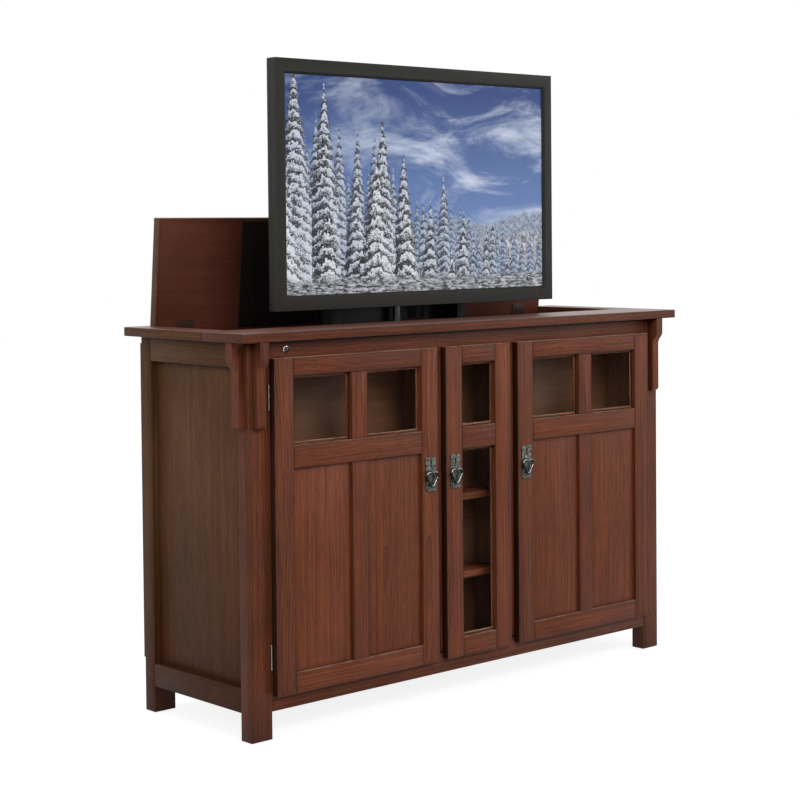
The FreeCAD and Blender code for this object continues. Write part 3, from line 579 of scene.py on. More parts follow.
woodTones = {  # what isn't named here is as in oakInputs
    "stainedOak": {},
    "shadedOak": {"rubAndGlint": 0.30, "topShade": 1.0},
    "doorOak": {
        "light": (0.218, 0.062, 0.025), "dark": (0.076, 0.0185, 0.0078), "wornAndLit": (0.34, 0.22, 0.145),
        "joint": 0.80, "rubAndGlint": 0.45, "topHighlight": 0.9, "edgeShade": 0.75},
    "railOak": {
        "light": (0.212, 0.060, 0.0245), "dark": (0.074, 0.018, 0.0076), "wornAndLit": (0.34, 0.22, 0.145),
        "joint": 0.80, "rubAndGlint": 0.45, "topHighlight": 0.9, "edgeShade": 0.75, "ledgeHighlight": 0.75, "figure": 0.8},
    "topOak": {
        "light": (0.190, 0.058, 0.0255), "dark": (0.070, 0.019, 0.0086), "contrast": 1.2, "gloss": 0.4,
        "lacquer": 0.35},
    "panelOak": {
        "light": (0.224, 0.064, 0.026), "dark": (0.082, 0.020, 0.0084), "contrast": 1.2, "joint": 0.70,
        "rubAndGlint": 0.0, "figure": 0.7},
    "slabEndOak": {
        "light": (0.170, 0.060, 0.029), "dark": (0.066, 0.0215, 0.0105), "wornAndLit": (0.26, 0.16, 0.10),
        "contrast": 1.2, "figure": 0.8},
    # the sides' painted shade reaches far up from the floor
    "sideOak": {
        "light": (0.172, 0.075, 0.0298), "dark": (0.066, 0.0282, 0.0112), "wornAndLit": (0.22, 0.14, 0.09),
        "contrast": 1.15, "rubAndGlint": 0.25, "figure": 0.6, "floorShadeTop": 0.62, "floorShadeTint": (0.56, 0.37, 0.35),
        "gloss": 0.09},
    "lidOak": {
        "light": (0.140, 0.040, 0.023), "dark": (0.066, 0.0185, 0.0115), "wornAndLit": (0.20, 0.075, 0.035),
        "contrast": 0.55, "joint": 0.30, "rubAndGlint": 0.9, "figure": 0.6},
    "lidEndOak": {
        "light": (0.200, 0.102, 0.056), "dark": (0.100, 0.047, 0.025), "wornAndLit": (0.24, 0.15, 0.09),
        "contrast": 1.0, "joint": 0.30, "rubAndGlint": 0.6, "figure": 0.6},
    "innerWood": {
        "light": (0.135, 0.060, 0.033), "dark": (0.057, 0.024, 0.0135), "wornAndLit": (0.14, 0.09, 0.06),
        "contrast": 0.8, "joint": 0.4, "rubAndGlint": 0.2, "figure": 0.6},
    "backBoard": {
        "light": (0.150, 0.075, 0.044), "dark": (0.078, 0.0375, 0.0225), "wornAndLit": (0.16, 0.10, 0.07),
        "contrast": 0.9, "joint": 0.4, "rubAndGlint": 0.3, "figure": 0.5},
}


def woodMaterial(name, gloss=0.13, lacquer=0.02, **tones):
    effectMaterial(name, oakGrain, tones, depth=0.0003, strength=0.6, specular=gloss, coat=lacquer,
                   coatRoughness=0.3)


for name, values in woodTones.items():
    woodMaterial(name, **values)

speckleTones = {
    "blackSteel": {"tint": (0.0065, 0.0063, 0.0064), "grain": 2600.0, "gloss": 0.12},
    "blackPlastic": {"tint": (0.013, 0.013, 0.0135), "grain": 1900.0, "gloss": 0.25, "spread": 0.4,
                     "depth": 0.00006},
    "tvPlastic": {"tint": (0.0104, 0.0096, 0.0072), "grain": 1500.0, "gloss": 0.16, "spread": 0.6,
                  "depth": 0.00006},
    "tvCase": {"tint": (0.0215, 0.02, 0.016), "grain": 1500.0, "gloss": 0.2, "spread": 0.6, "depth": 0.00006},
    "blackRubber": {"tint": (0.0045, 0.0042, 0.0042), "grain": 900.0, "gloss": 0.08, "depth": 0.0001},
    "padRubber": {"tint": (0.0125, 0.0090, 0.0085), "grain": 900.0, "gloss": 0.10, "depth": 0.0001},
    "darkHinge": {"tint": (0.0300, 0.0150, 0.0110), "grain": 1500.0, "gloss": 0.15},
}


def speckleMaterial(name, gloss, depth=0.00008, spread=0.5, **tones):
    tones["spread"] = spread
    effectMaterial(name, fineSpeckle, tones, depth, strength=0.5, specular=gloss)


for name, values in speckleTones.items():
    speckleMaterial(name, **values)

metalTones = {"hingeSteel": (0.23, 0.215, 0.19), "actuatorMetal": (0.07, 0.07, 0.072),
              "rodChrome": (0.10, 0.10, 0.105)}
for name, tint in metalTones.items():
    effectMaterial(name, brushedLines, {"tint": tint}, depth=0.00003, strength=0.5, metallic=1.0)

pewterValues = {"high": (0.165, 0.175, 0.152), "low": (0.012, 0.014, 0.013), "dent": 210.0, "depth": 0.0009,
                "bailTop": 0.578, "topFade": 0.010, "plateFoot": (0.5335, 0.5300), "shade": 0.62,
                "footShine": 1.3}


def pewterMaterial(v):
    # hammered dents with dark oxide left in them; painted shade on the plate under the bail, and a painted
    # highlight at the plate's foot
    tree, shader = newMaterial("hammeredPewter", metallic=0.9, specular=0.4)
    spot = objectPlace(tree)
    wander = vectorMaths("MULTIPLY", noise(spot, 120.0, 2.0), (0.003, 0.003, 0.003))
    bent = vectorMaths("ADD", spot, wander)
    pattern = {"Vector": bent, "Scale": v["dent"]}
    dents = nodeFrom("ShaderNodeTexVoronoi", pattern, "Distance", feature="SMOOTH_F1")
    fine = noise(spot, 900.0, 3.0, 0.6)
    height = split(spot)[2]
    shadeAndShine = maths("MAXIMUM", remap(height, v["bailTop"] - v["topFade"], v["bailTop"], v["shade"], 1.0),
                   remap(height, *v["plateFoot"], v["shade"], v["footShine"]))
    wornAndLit = remap(dents + fine * 0.5, 0.40, 0.95) * shadeAndShine
    dress(shader, baseColour=blendColour(wornAndLit, v["low"], v["high"]), roughness=fine * 0.25 + 0.22)
    bump(shader, fine * 0.15 + dents, v["depth"], 0.8)


bailValues = {"high": (0.42, 0.42, 0.39), "low": (0.014, 0.016, 0.014), "fatten": 0.0009}


def bailMaterial(v):
    # the same metal, with a painted highlight on its upper side and painted shade below, broken by handling
    # marks
    tree, shader = newMaterial("topLitPewter", metallic=1.0)
    marks = noise(objectPlace(tree), 260.0, 4.0, 0.7)
    facing = split(source(tree, "ShaderNodeNewGeometry", "Normal"))[2]
    rubAndHighlight = remap((marks - 0.5) * 0.8 + facing, 0.05, 0.75, 0.0, 1.0, True)
    dress(shader, baseColour=blendColour(rubAndHighlight, v["low"], v["high"]), roughness=marks * 0.16 + 0.05)
    bump(shader, marks, 0.0003, 0.5)


glassValues = {"tint": (0.95, 0.955, 0.94), "smeared": (0.86, 0.87, 0.85), "shadow": (0.93, 0.93, 0.92, 1)}


def glassMaterial(v):
    tree, shader = newMaterial("clearGlass", transmission=1.0, ior=1.03, roughness=0.0)
    smear = drawnNoise(objectPlace(tree), (9, 9, 3), 4.0, 0.6)
    dress(shader, baseColour=blendColour(remap(smear, 0.3, 0.8), v["tint"], v["smeared"]))
    # the lamps shine straight through
    clear = add(tree, "ShaderNodeBsdfTransparent")
    clear.inputs[0].default_value = v["shadow"]
    mix = add(tree, "ShaderNodeMixShader")
    tree.links.new(add(tree, "ShaderNodeLightPath").outputs["Is Shadow Ray"], mix.inputs[0])
    tree.links.new(shader.outputs[0], mix.inputs[1])
    tree.links.new(clear.outputs[0], mix.inputs[2])
    tree.links.new(mix.outputs[0], tree.nodes["Material Output"].inputs[0])


eyeValues = {"tint": (0.004, 0.0035, 0.004), "hazed": (0.012, 0.006, 0.007)}


def eyeMaterial(v):
    tree, shader = newMaterial("eyeGloss", specular=0.45)
    haze = noise(objectPlace(tree), 300.0, 2.0)
    dress(shader, baseColour=blendColour(haze, v["tint"], v["hazed"]),
          roughness=remap(haze, 0.3, 0.7, 0.06, 0.16))


rimValues = {"rimHighlight": (0.62, 0.60, 0.56), "rimShade": (0.035, 0.030, 0.028), "centre": (-0.600, 0.897),
             "fade": 0.008}


def rimMaterial(v):
    # painted highlight: polished metal lit at the upper left, with painted shade away from it
    tree, shader = newMaterial("rimChrome", metallic=1.0)
    spot = objectPlace(tree)
    x, unused, z = split(spot)
    marks = noise(spot, 400.0, 2.0)
    highlightSlant = (z - v["centre"][1]) - (x - v["centre"][0])
    share = remap(marks * 0.002 + highlightSlant, 0.0, v["fade"], 0.0, 1.0, True)
    dress(shader, baseColour=blendColour(share, v["rimShade"], v["rimHighlight"]),
          roughness=remap(marks, 0.3, 0.7, 0.12, 0.24))


pewterMaterial(pewterValues)
bailMaterial(bailValues)
glassMaterial(glassValues)
eyeMaterial(eyeValues)
rimMaterial(rimValues)
print("materials made")


def markBoard(obj, groups, order, whole=None):
    # stores each point's place in its own board, by the grain, and in the whole frame
    mesh = obj.data
    count = len(mesh.vertices)
    table = {name: [0.0] * 3 * count for name in boardMarks}
    seeds = [0.0] * count
    for indices in groups:
        low, high = boxOf(mesh, indices)
        middle, half = (low + high) / 2, (high - low) / 2
        outerLow, outerHigh = whole or (low, high)
        centre, reach = (outerLow + outerHigh) / 2, (outerHigh - outerLow) / 2
        seed = dice.uniform(0, 10)
        for i in indices:
            spot = mesh.vertices[i].co
            marks = ([(spot - middle)[k] for k in order], [half[k] for k in order], spot - centre, reach)
            for name, mark in zip(boardMarks, marks):
                table[name][3 * i:3 * i + 3] = mark
            seeds[i] = seed
    for name, values in table.items():
        mesh.attributes.new(name, "FLOAT_VECTOR", "POINT").data.foreach_set("vector", values)
    mesh.attributes.new("boardSeed", "FLOAT", "POINT").data.foreach_set("value", seeds)
    return obj


def wholeOf(*names):
    # the box round several nodes together
    return boxAround([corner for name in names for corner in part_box(name)])


def grainOrder(direction, low, high):
    # along the grain first, then the wider and the narrower of the others
    along = "xyz".index(direction)
    others = sorted((k for k in range(3) if k != along), key=lambda k: low[k] - high[k])
    return (along, *others)


def addBoard(low, high, direction, bevel, whole=None):
    low, high = Vector(low), Vector(high)
    board = addBox(low, high, bevel, 3)
    return markBoard(board, [range(len(board.data.vertices))], grainOrder(direction, low, high), whole)


topBox = wholeOf("top_front_board", "top_side_boards")
boardPieces = [  # node, piece, grain, wood, edge width, box that counts as the whole
    ("top_front_board", "topFrontSlab", "x", "stainedOak", 0.0022, topBox),
    ("top_side_boards", "topEndSlabs", "y", "slabEndOak", 0.0022, topBox),
    ("rear_rails", "rearRails", "x", "innerWood", 0.0011, None),
    ("side_rails", "endRails", "y", "sideOak", 0.0011, None),
    ("side_panels", "endPanels", "z", "sideOak", 0.0004, None),
    ("face_frame_rails", "faceRails", "x", "shadedOak", 0.0011, None),
    ("face_frame_stiles", "faceStiles", "z", "stainedOak", 0.0011, None),
    ("bulkhead_panel", "wellBulkhead", "x", "innerWood", 0.0004, None),
    ("compartment_dividers", "bayDividers", "z", "innerWood", 0.0008, None),
    ("storage_shelves", "bayShelves", "x", "stainedOak", 0.0011, None),
]
for side in doorSides:
    doorBox = wholeOf(side + "_door_stiles", side + "_door_rails")
    boardPieces.append((side + "_door_stiles", side + "DoorStiles", "z", "doorOak", 0.0011, doorBox))
    boardPieces.append((side + "_door_rails", side + "DoorRails", "x", "railOak", 0.0009, doorBox))
for side in ("left", "right"):
    boardPieces.append((side + "_door_panels", side + "DoorPanels", "z", "panelOak", 0.0004, None))

for node, name, direction, wood, bevel, whole in boardPieces:
    boards = [addBoard(low, high, direction, bevel, whole) for low, high in boxesOf(node)]
    fit(name, boards, node, wood, angle=35)


postEdge = 0.0014


def makePosts():
    # the front posts take the front's stain with its painted shadow under the top, the rear ones the sides'
    boxes = boxesOf("corner_posts")
    front = [pair for pair in boxes if pair[0].y < 0]
    rear = [pair for pair in boxes if pair[0].y > 0]
    for name, wood, chosen in (("frontPosts", "shadedOak", front), ("rearPosts", "sideOak", rear)):
        posts = [addBoard(low, high, "z", postEdge) for low, high in chosen]
        fit(name, posts, "corner_posts", wood, angle=35)


def stainFaces(name, finish, chosen):
    # gives the chosen faces of a piece another finish
    mesh = bpy.data.objects[name].data
    mesh.materials.append(finishes[finish])
    for polygon in mesh.polygons:
        if chosen(polygon):
            polygon.material_index = len(mesh.materials) - 1


makePosts()
slabEnd = 0.74  # further out than this, a face looking sideways is a slab's end
for name, endWood in (("topFrontSlab", "slabEndOak"), ("topEndSlabs", "sideOak")):
    stainFaces(name, endWood, lambda face: abs(face.normal.x) > 0.5 and abs(face.center.x) > slabEnd)
    stainFaces(name, "topOak", lambda face: face.normal.z > 0.7)
print("boards made")


def woodCopy(node, name, direction, finish):
    # a shaped wooden node: its merged copy, marked solid by solid
    twin = copyNode(node, name)
    groups = islandsOf(twin.data)
    low, high = boxOf(twin.data, groups[0])
    markBoard(twin, groups, grainOrder(direction, low, high))
    attach(twin, node, finish)


woodCopy("corbels", "corbelBrackets", "z", "stainedOak")
woodCopy("bottom_boards", "bottomBoards", "x", "innerWood")
woodCopy("back_panel", "backPanel", "z", "backBoard")
print("shaped wood made")

lidValues = {"axis": (0.0, 0.212, 0.91475), "angle": 85.0, "bevel": 0.0022,
             "shutLow": (-0.676, -0.076, 0.918), "shutHigh": (0.676, 0.2085, 0.940)}


def makeLid(v):
    # drawn shut, then turned open on its hinges
    board = addBoard(v["shutLow"], v["shutHigh"], "x", v["bevel"])
    swing = Matrix.Rotation(math.radians(-v["angle"]), 4, "X")
    board.matrix_world = Matrix.Translation(v["axis"]) @ swing @ Matrix.Translation(-Vector(v["axis"]))
    fit("lidBoard", [settle(board)], "lid_panel", "stainedOak", angle=35)
    stainFaces("lidBoard", "lidOak", lambda face: face.normal.y < -0.5)
    stainFaces("lidBoard", "topOak", lambda face: face.normal.y > 0.5)
    stainFaces("lidBoard", "lidEndOak", lambda face: abs(face.normal.x) > 0.5)


makeLid(lidValues)
print("lid made")

pictureValues = {
    "left": -0.4825, "bottom": 1.013, "width": 0.885, "height": 0.532, "aspect": 1.66, "glow": 0.92,
    "skyHigh": (0.022, 0.058, 0.21), "skyLow": (0.17, 0.28, 0.56), "cloud": (0.70, 0.77, 0.90),
    "soil": (0.016, 0.015, 0.020), "drift": (0.60, 0.62, 0.66), "glass": (0.004, 0.004, 0.005),
}
hillRows = [  # height at the left, rise to the right, size of the peaks, speckle scale, shift
    {"base": 0.22, "tilt": 0.16, "ridge": 0.16, "speckle": 60.0, "shift": 2.3,
     "snow": (0.42, 0.48, 0.58), "rock": (0.12, 0.15, 0.22)},
    {"base": 0.04, "tilt": 0.26, "ridge": 0.14, "speckle": 42.0, "shift": 5.1,
     "snow": (0.62, 0.65, 0.70), "rock": (0.05, 0.055, 0.07)},
]
forestRows = [  # width of a tree's lot, shift, height at the left and right, spread of heights, slope, tiers
    {"lot": 0.060, "shift": 0.31, "left": 0.66, "right": 0.22, "spread": 0.16, "slope": 0.20, "tiers": 34.0,
     "snow": (0.36, 0.43, 0.56), "shadow": (0.075, 0.10, 0.17)},
    {"lot": 0.110, "shift": 0.77, "left": 0.92, "right": 0.14, "spread": 0.26, "slope": 0.17, "tiers": 27.0,
     "snow": (0.50, 0.56, 0.67), "shadow": (0.040, 0.050, 0.080)},
    {"lot": 0.170, "shift": 0.12, "left": 1.02, "right": 0.04, "spread": 0.34, "slope": 0.19, "tiers": 21.0,
     "snow": (0.62, 0.66, 0.74), "shadow": (0.018, 0.022, 0.034)},
    {"lot": 0.260, "shift": 0.55, "left": 0.80, "right": -0.22, "spread": 0.40, "slope": 0.24, "tiers": 17.0,
     "snow": (0.74, 0.77, 0.83), "shadow": (0.010, 0.010, 0.014)},
]


def hillRow(at, colour, row, u, w):
    # a snowy ridge, drawn over what is behind it
    line = noise(mapped(at, (3.2, 0, 0), (row["shift"], 0, 0)), 1.0, 7.0, 0.66)
    skyline = u * row["tilt"] + row["base"] + (line - 0.5) * (row["ridge"] * 2)
    crumble = (noise(at, row["speckle"] * 1.6, 3.0, 0.7) - 0.5) * 0.09
    frost = remap(noise(at, row["speckle"], 6.0, 0.8, 0.8), 0.40, 0.60)
    mask = remap(skyline + crumble - w, 0.0, 0.01)
    return blendColour(mask, colour, blendColour(frost, row["rock"], row["snow"]))


def treeRow(at, colour, row, aspect):
    # a row of snowy conifers, one to a lot, drawn over what is behind them
    x, height, unused = split(at)
    place = x * (1 / row["lot"]) + row["shift"]
    lot = maths("FLOOR", place)
    chances = []
    for offset in (0.37, 5.71):
        seed = {"W": lot + (offset + row["shift"])}
        chances.append(nodeFrom("ShaderNodeTexWhiteNoise", seed, "Value", noise_dimensions="1D") - 0.5)
    fromStem = ((place - lot) - (chances[1] * 0.36 + 0.5)) * row["lot"]
    share = (lot + 0.5 - row["shift"]) * (row["lot"] / aspect)
    top = chances[0] * row["spread"] + (share * (row["right"] - row["left"]) + row["left"])
    down = top - height
    droop = maths("ABSOLUTE", fromStem) * -0.5 + down
    wander = (noise(at, 26.0, 4.0, 0.7) - 0.5) * 2.4
    tier = maths("FRACT", droop * row["tiers"] + wander)
    ragged = (noise(at, 90.0, 4.0, 0.8) - 0.5) * 0.05
    edge = down * row["slope"] * (tier * 0.55 + 0.5) + ragged - maths("ABSOLUTE", fromStem)
    mask = remap(edge, 0.0, 0.003) * remap(down, 0.0, 0.01)
    fine = noise(at, 130.0, 6.0, 0.85) - 0.5
    sunny = fromStem * (2.2 / row["lot"]) * 0.22 + 0.86
    lit = remap(fine * 2.6 + (tier * -0.75 + sunny), 0.36, 0.66)
    return blendColour(mask, colour, blendColour(lit, row["shadow"], row["snow"]))


def screenMaterial(v):
    # a made up winter view: sky with slanting cloud, snowy hills and rows of frosted conifers
    tree, shader = newMaterial("screenPicture", baseColour=v["glass"], specular=0.12, glow=v["glow"])
    spot = objectPlace(tree)
    wide, tall = v["width"], v["height"]
    u, unused, w = split(mapped(spot, (1 / wide, 0, 1 / tall), (-v["left"] / wide, 0, -v["bottom"] / tall)))
    at = combined(u * v["aspect"], w)
    sky = blendColour(remap(w, 0.15, 0.95), v["skyLow"], v["skyHigh"])
    cloud = noise(mapped(at, (1.0, 2.9, 1.0), (0.5, 1.9, 0.0), (0, 0, -0.75)), 1.5, 9.0, 0.62, 0.6)
    cloud = remap(cloud, 0.44, 0.70, 0.0, 1.0, True) * remap(u, 0.1, 0.7, 0.35, 1.0)
    colour = blendColour(cloud, sky, v["cloud"])
    for row in hillRows:
        colour = hillRow(at, colour, row, u, w)
    for row in forestRows:
        colour = treeRow(at, colour, row, v["aspect"])
    # dark foreground with lit drifts
    front = noise(mapped(at, (2.0, 9.0, 1)), 3.0, 5.0, 0.65) * 0.15 - 0.01
    patches = remap(noise(mapped(at, (1, 4, 1)), 22.0, 6.0, 0.8), 0.44, 0.60)
    colour = blendColour(remap(front - w, -0.02, 0.02), colour, blendColour(patches, v["soil"], v["drift"]))
    # only the glass side glows
    facing = split(source(tree, "ShaderNodeNewGeometry", "Normal"))[1]
    colour = blendColour(remap(facing, -0.6, -0.9), (0.0, 0.0, 0.0), colour)
    dress(shader, emission=colour, roughness=remap(noise(spot, 2500.0, 1.0), 0.0, 1.0, 0.2, 0.26))


screenMaterial(pictureValues)
print("picture made")

nodeFinishes = {  # nodes that stay as they are, with a better finish
    "shelf_pins": "hingeSteel",
    "door_hinge_pins": "hingeSteel",
    "lid_hinge_pins": "darkHinge",
    "lift_actuator_rod": "rodChrome",
    "lift_belt": "blackRubber",
    "tv_screen": "screenPicture",
}
for side in doorSides:
    nodeFinishes[side + "_door_glass"] = "clearGlass"
    nodeFinishes[side + "_door_hardware"] = "hingeSteel"
for node, finish in nodeFinishes.items():
    for slot in nodes[node].material_slots:
        slot.material = finishes[finish]
woodCopy("screw_plugs", "screwPlugs", "x", "stainedOak")
print("carried over nodes finished")

softPieces = [  # node, piece, finish, edge width, edge steps
    ("door_hinge_case_leaves", "caseHingeLeaves", "hingeSteel", 0.0003, 2),
    ("lid_hinge_rail_leaves", "lidHingeRailLeaves", "darkHinge", 0.0004, 2),
    ("lid_hinge_leaves", "lidHingeLeaves", "darkHinge", 0.0004, 2),
    ("lift_outer_frame", "liftOuterFrame", "blackSteel", 0.0016, 3),
    ("lift_middle_stage", "liftMiddleStage", "blackSteel", 0.0014, 3),
    ("lift_carriage", "liftCarriage", "blackSteel", 0.0009, 3),
    ("tv_mount_bracket", "televisionBracket", "blackSteel", 0.0008, 2),
    ("lift_actuator", "liftActuator", "actuatorMetal", 0.0015, 3),
    ("upper_pulley", "upperBeltPulley", "blackPlastic", 0.0004, 2),
    ("lower_pulley", "lowerBeltPulley", "blackPlastic", 0.0004, 2),
    ("door_catches", "doorCatches", "blackPlastic", 0.0006, 2),
    ("foot_glides", "footGlides", "blackRubber", 0.0005, 2),
    ("lid_pad", "lidPad", "padRubber", 0.0006, 2),
    ("tv_bezel", "televisionBezel", "tvPlastic", 0.0014, 3),
]
for side in doorSides:
    softPieces.append((side + "_pull_plate", side + "PullPlate", "hammeredPewter", 0.0005, 2))
    softPieces.append((side + "_pull_bail", side + "PullBail", "topLitPewter", 0.0, 2))
for node, name, finish, bevel, segments in softPieces:
    attach(copyNode(node, name, bevel, segments), node, finish)

bezelLow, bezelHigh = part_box("tv_bezel")
bezelSide = 0.0015  # deep enough for the rounded edge


def onBezelSide(face):
    fromSide = min(face.center.x - bezelLow[0], bezelHigh[0] - face.center.x)
    return abs(face.normal.x) > 0.5 and fromSide < bezelSide


stainFaces("televisionBezel", "tvCase", onBezelSide)

carriageGap = 0.0006  # running clearance from the middle stage
carriage = bpy.data.objects["liftCarriage"]
carriage.location.y -= carriageGap
settle(carriage)

for side in doorSides:
    editAll(bpy.data.objects[side + "PullBail"])
    bpy.ops.transform.shrink_fatten(value=bailValues["fatten"])
    bpy.ops.object.mode_set(mode="OBJECT")
print("softened pieces made")

screwValues = {"headRadius": 0.0040, "headHeight": 0.0020, "dome": 0.0009, "slotHalfWidth": 0.00055,
               "slotReach": 0.0026, "slotDepth": 0.0012, "seatDepth": 0.0001}


def makeScrewHead(v):
    # pan head with a cross recess, facing +Y with its seat at y 0
    head = addRod(v["headRadius"], (0, 0, 0), (0, v["headHeight"], 0), 28, v["dome"], 3)
    reach, half, top = v["slotReach"], v["slotHalfWidth"], v["headHeight"]
    carve(head, [addBox((-reach, top - v["slotDepth"], -half), (reach, top + 0.001, half))])
    return carve(head, [addBox((-half, top - v["slotDepth"], -reach), (half, top + 0.0012, reach))])


screwHead = makeScrewHead(screwValues)
panelSpots = [((low.x + high.x) / 2, low.y - screwValues["seatDepth"], (low.z + high.z) / 2)
              for low, high in boxesOf("back_panel_screws")]
fit("backPanelScrews", copiesAt(screwHead, panelSpots), "back_panel_screws", "hingeSteel")

portValues = {"x": 0.44, "z": 0.23, "wall": 0.2305, "gap": 0.0001, "halfWidth": 0.0550, "halfHeight": 0.0300,
              "corner": 0.012, "flange": 0.0085, "lining": 0.0022, "proud": 0.0024, "bevel": 0.0008}


def roundCorners(obj, axis, radius, steps=6):
    # rounds the edges that run along one axis
    activate(obj)
    bpy.context.tool_settings.mesh_select_mode = (False, True, False)
    for part in (*obj.data.vertices, *obj.data.polygons):
        part.select = False
    for edge in obj.data.edges:
        run = obj.data.vertices[edge.vertices[1]].co - obj.data.vertices[edge.vertices[0]].co
        edge.select = abs(run[axis]) > 0.99 * run.length
    bpy.ops.object.mode_set(mode="EDIT")
    bpy.ops.mesh.bevel(offset=radius, segments=steps, affect="EDGES")
    bpy.ops.object.mode_set(mode="OBJECT")
    return obj


def makePortTrims(v):
    # plastic frames lining the cable ports of the back panel
    trims = []
    for x in (-v["x"], v["x"]):
        wide, tall = v["halfWidth"] + v["flange"], v["halfHeight"] + v["flange"]
        flange = addBox((x - wide, v["wall"] + v["gap"], v["z"] - tall),
                        (x + wide, v["wall"] + v["proud"], v["z"] + tall))
        roundCorners(flange, 1, v["corner"] + v["flange"])
        softenEdges(flange, v["bevel"], 3, 50)
        wide, tall = v["halfWidth"] - v["lining"], v["halfHeight"] - v["lining"]
        hole = addBox((x - wide, v["wall"] - past, v["z"] - tall),
                      (x + wide, v["wall"] + past, v["z"] + tall))
        trims.append(carve(flange, [roundCorners(hole, 1, v["corner"] - v["lining"])]))
    fit("portTrims", trims, "back_panel", "blackPlastic", False)


makePortTrims(portValues)

beadValues = {"width": 0.0065, "rear": -0.2052, "gap": 0.0002, "bevel": 0.0024}


def makeGlazingBeads(side, v):
    # four strips behind each pane
    strips = []
    wide = v["width"]
    for low, high in boxesOf(side + "_door_glass"):
        for left, foot, right, head, direction in (
                (low.x, low.z, high.x, low.z + wide, "x"), (low.x, high.z - wide, high.x, high.z, "x"),
                (low.x, low.z + wide, low.x + wide, high.z - wide, "z"),
                (high.x - wide, low.z + wide, high.x, high.z - wide, "z")):
            front = high.y + v["gap"]
            strips.append(addBoard((left, front, foot), (right, v["rear"], head), direction, v["bevel"]))
    fit(side + "GlazingBeads", strips, side + "_door_stiles", "doorOak", False, 35)


for side in doorSides:
    makeGlazingBeads(side, beadValues)
print("screws, trims and beads made")

eyeShape = {"place": (-0.600, -0.2015, 0.897), "radius": 0.0088, "rim": 0.0021, "proud": 0.0024,
            "bevel": 0.0007, "recess": 0.0012, "dome": 0.0021, "domeGap": 0.0001}


def makeEye(v):
    # a turned rim round a polished dome
    x, y, z = v["place"]
    inner, front = v["radius"] - v["rim"], y - v["proud"]
    rim = addRod(v["radius"], (x, y, z), (x, front, z), 48, v["bevel"], 3)
    carve(rim, [addRod(inner, (x, front + v["recess"], z), (x, y - past, z), 48)])
    deselectAll()
    bpy.ops.mesh.primitive_uv_sphere_add(segments=40, ring_count=20, radius=inner - v["domeGap"],
                                         location=(x, front + v["recess"] + v["domeGap"], z))
    dome = bpy.context.object
    dome.scale = (1, v["dome"] / inner, 1)
    fit("receiverEye", [settle(dome)], "ir_eye", "eyeGloss")
    fit("receiverRim", [rim], "ir_eye", "rimChrome", False)


makeEye(eyeShape)

boxValues = {"low": (-0.600, 0.090, 0.078), "high": (-0.440, 0.170, 0.120), "bevel": 0.003, "seam": 0.104,
             "seamWidth": 0.001, "seamDepth": 0.0007, "sockets": 3, "socketStart": 0.016, "socketPitch": 0.018,
             "socketWidth": 0.012, "socketFoot": 0.010, "socketHead": 0.020, "socketDepth": 0.006,
             "ribs": 8, "ribStart": 0.050, "ribPitch": 0.008, "ribWidth": 0.003, "ribInset": 0.020,
             "sunk": 0.0005, "proud": 0.0009, "edge": 0.0004,
             "lampRadius": 0.0016, "lampProud": 0.0008, "lampPlace": (0.020, 0.014)}


def makeControlBox(v):
    # a moulded case with a lid seam, three sockets in its end and a small lamp
    low, high = Vector(v["low"]), Vector(v["high"])
    case = addBox(low, high, v["bevel"], 4)
    for near, far in ((low.y - past, low.y + v["seamDepth"]), (high.y - v["seamDepth"], high.y + past)):
        carve(case, [addBox((low.x - past, near, v["seam"]),
                            (high.x + past, far, v["seam"] + v["seamWidth"]))])
    for index in range(v["sockets"]):
        y = low.y + v["socketStart"] + v["socketPitch"] * index
        carve(case, [addBox((high.x - v["socketDepth"], y, low.z + v["socketFoot"]),
                            (high.x + past, y + v["socketWidth"], low.z + v["socketHead"]))])
    x, y = low.x + v["lampPlace"][0], low.y + v["lampPlace"][1]
    lamp = addRod(v["lampRadius"], (x, y, high.z - v["sunk"]), (x, y, high.z + v["lampProud"]), 20, v["edge"])
    parts = [case, lamp]
    for index in range(v["ribs"]):
        x = low.x + v["ribStart"] + v["ribPitch"] * index
        parts.append(addBox((x, low.y + v["ribInset"], high.z - v["sunk"]),
                            (x + v["ribWidth"], high.y - v["ribInset"], high.z + v["proud"]), v["edge"]))
    fit("controlBox", parts, "lift_control_box", "blackPlastic")


makeControlBox(boxValues)

boltValues = {"radius": 0.0062, "height": 0.0042, "washer": 0.0085, "washerHeight": 0.0011, "middle": -0.040,
              "tieX": (0.240, 0.254), "tieZ": (0.650, 0.670, 0.870, 0.890), "tieFace": 0.0801,
              "plateX": 0.215, "plateY": (0.010, 0.125), "plateTop": 0.0861}


def makeBolts(v):
    # hexagon heads on washers, on the frame's ties and on its base plate
    washer = addRod(v["washer"], (0, 0, 0), (0, 0, v["washerHeight"]), 28, 0.0003)
    bolt = joinAs("boltHead", [washer, addRod(v["radius"], (0, 0, 0.001), (0, 0, v["height"]), 6, 0.0007)])
    tieSpots = [(v["middle"] + hand * x, v["tieFace"], z)
                for hand in (-1, 1) for x in v["tieX"] for z in v["tieZ"]]
    plateSpots = [(v["middle"] + hand * v["plateX"], y, v["plateTop"])
                  for hand in (-1, 1) for y in v["plateY"]]
    for name, spots, tip in (("frameTieBolts", tieSpots, -math.pi / 2), ("basePlateBolts", plateSpots, 0)):
        bolts = copiesAt(bolt, spots, (tip, 0, 0))
        fit(name, bolts, "lift_outer_frame", "actuatorMetal", False)
    bpy.data.objects.remove(bolt, do_unlink=True)


makeBolts(boltValues)

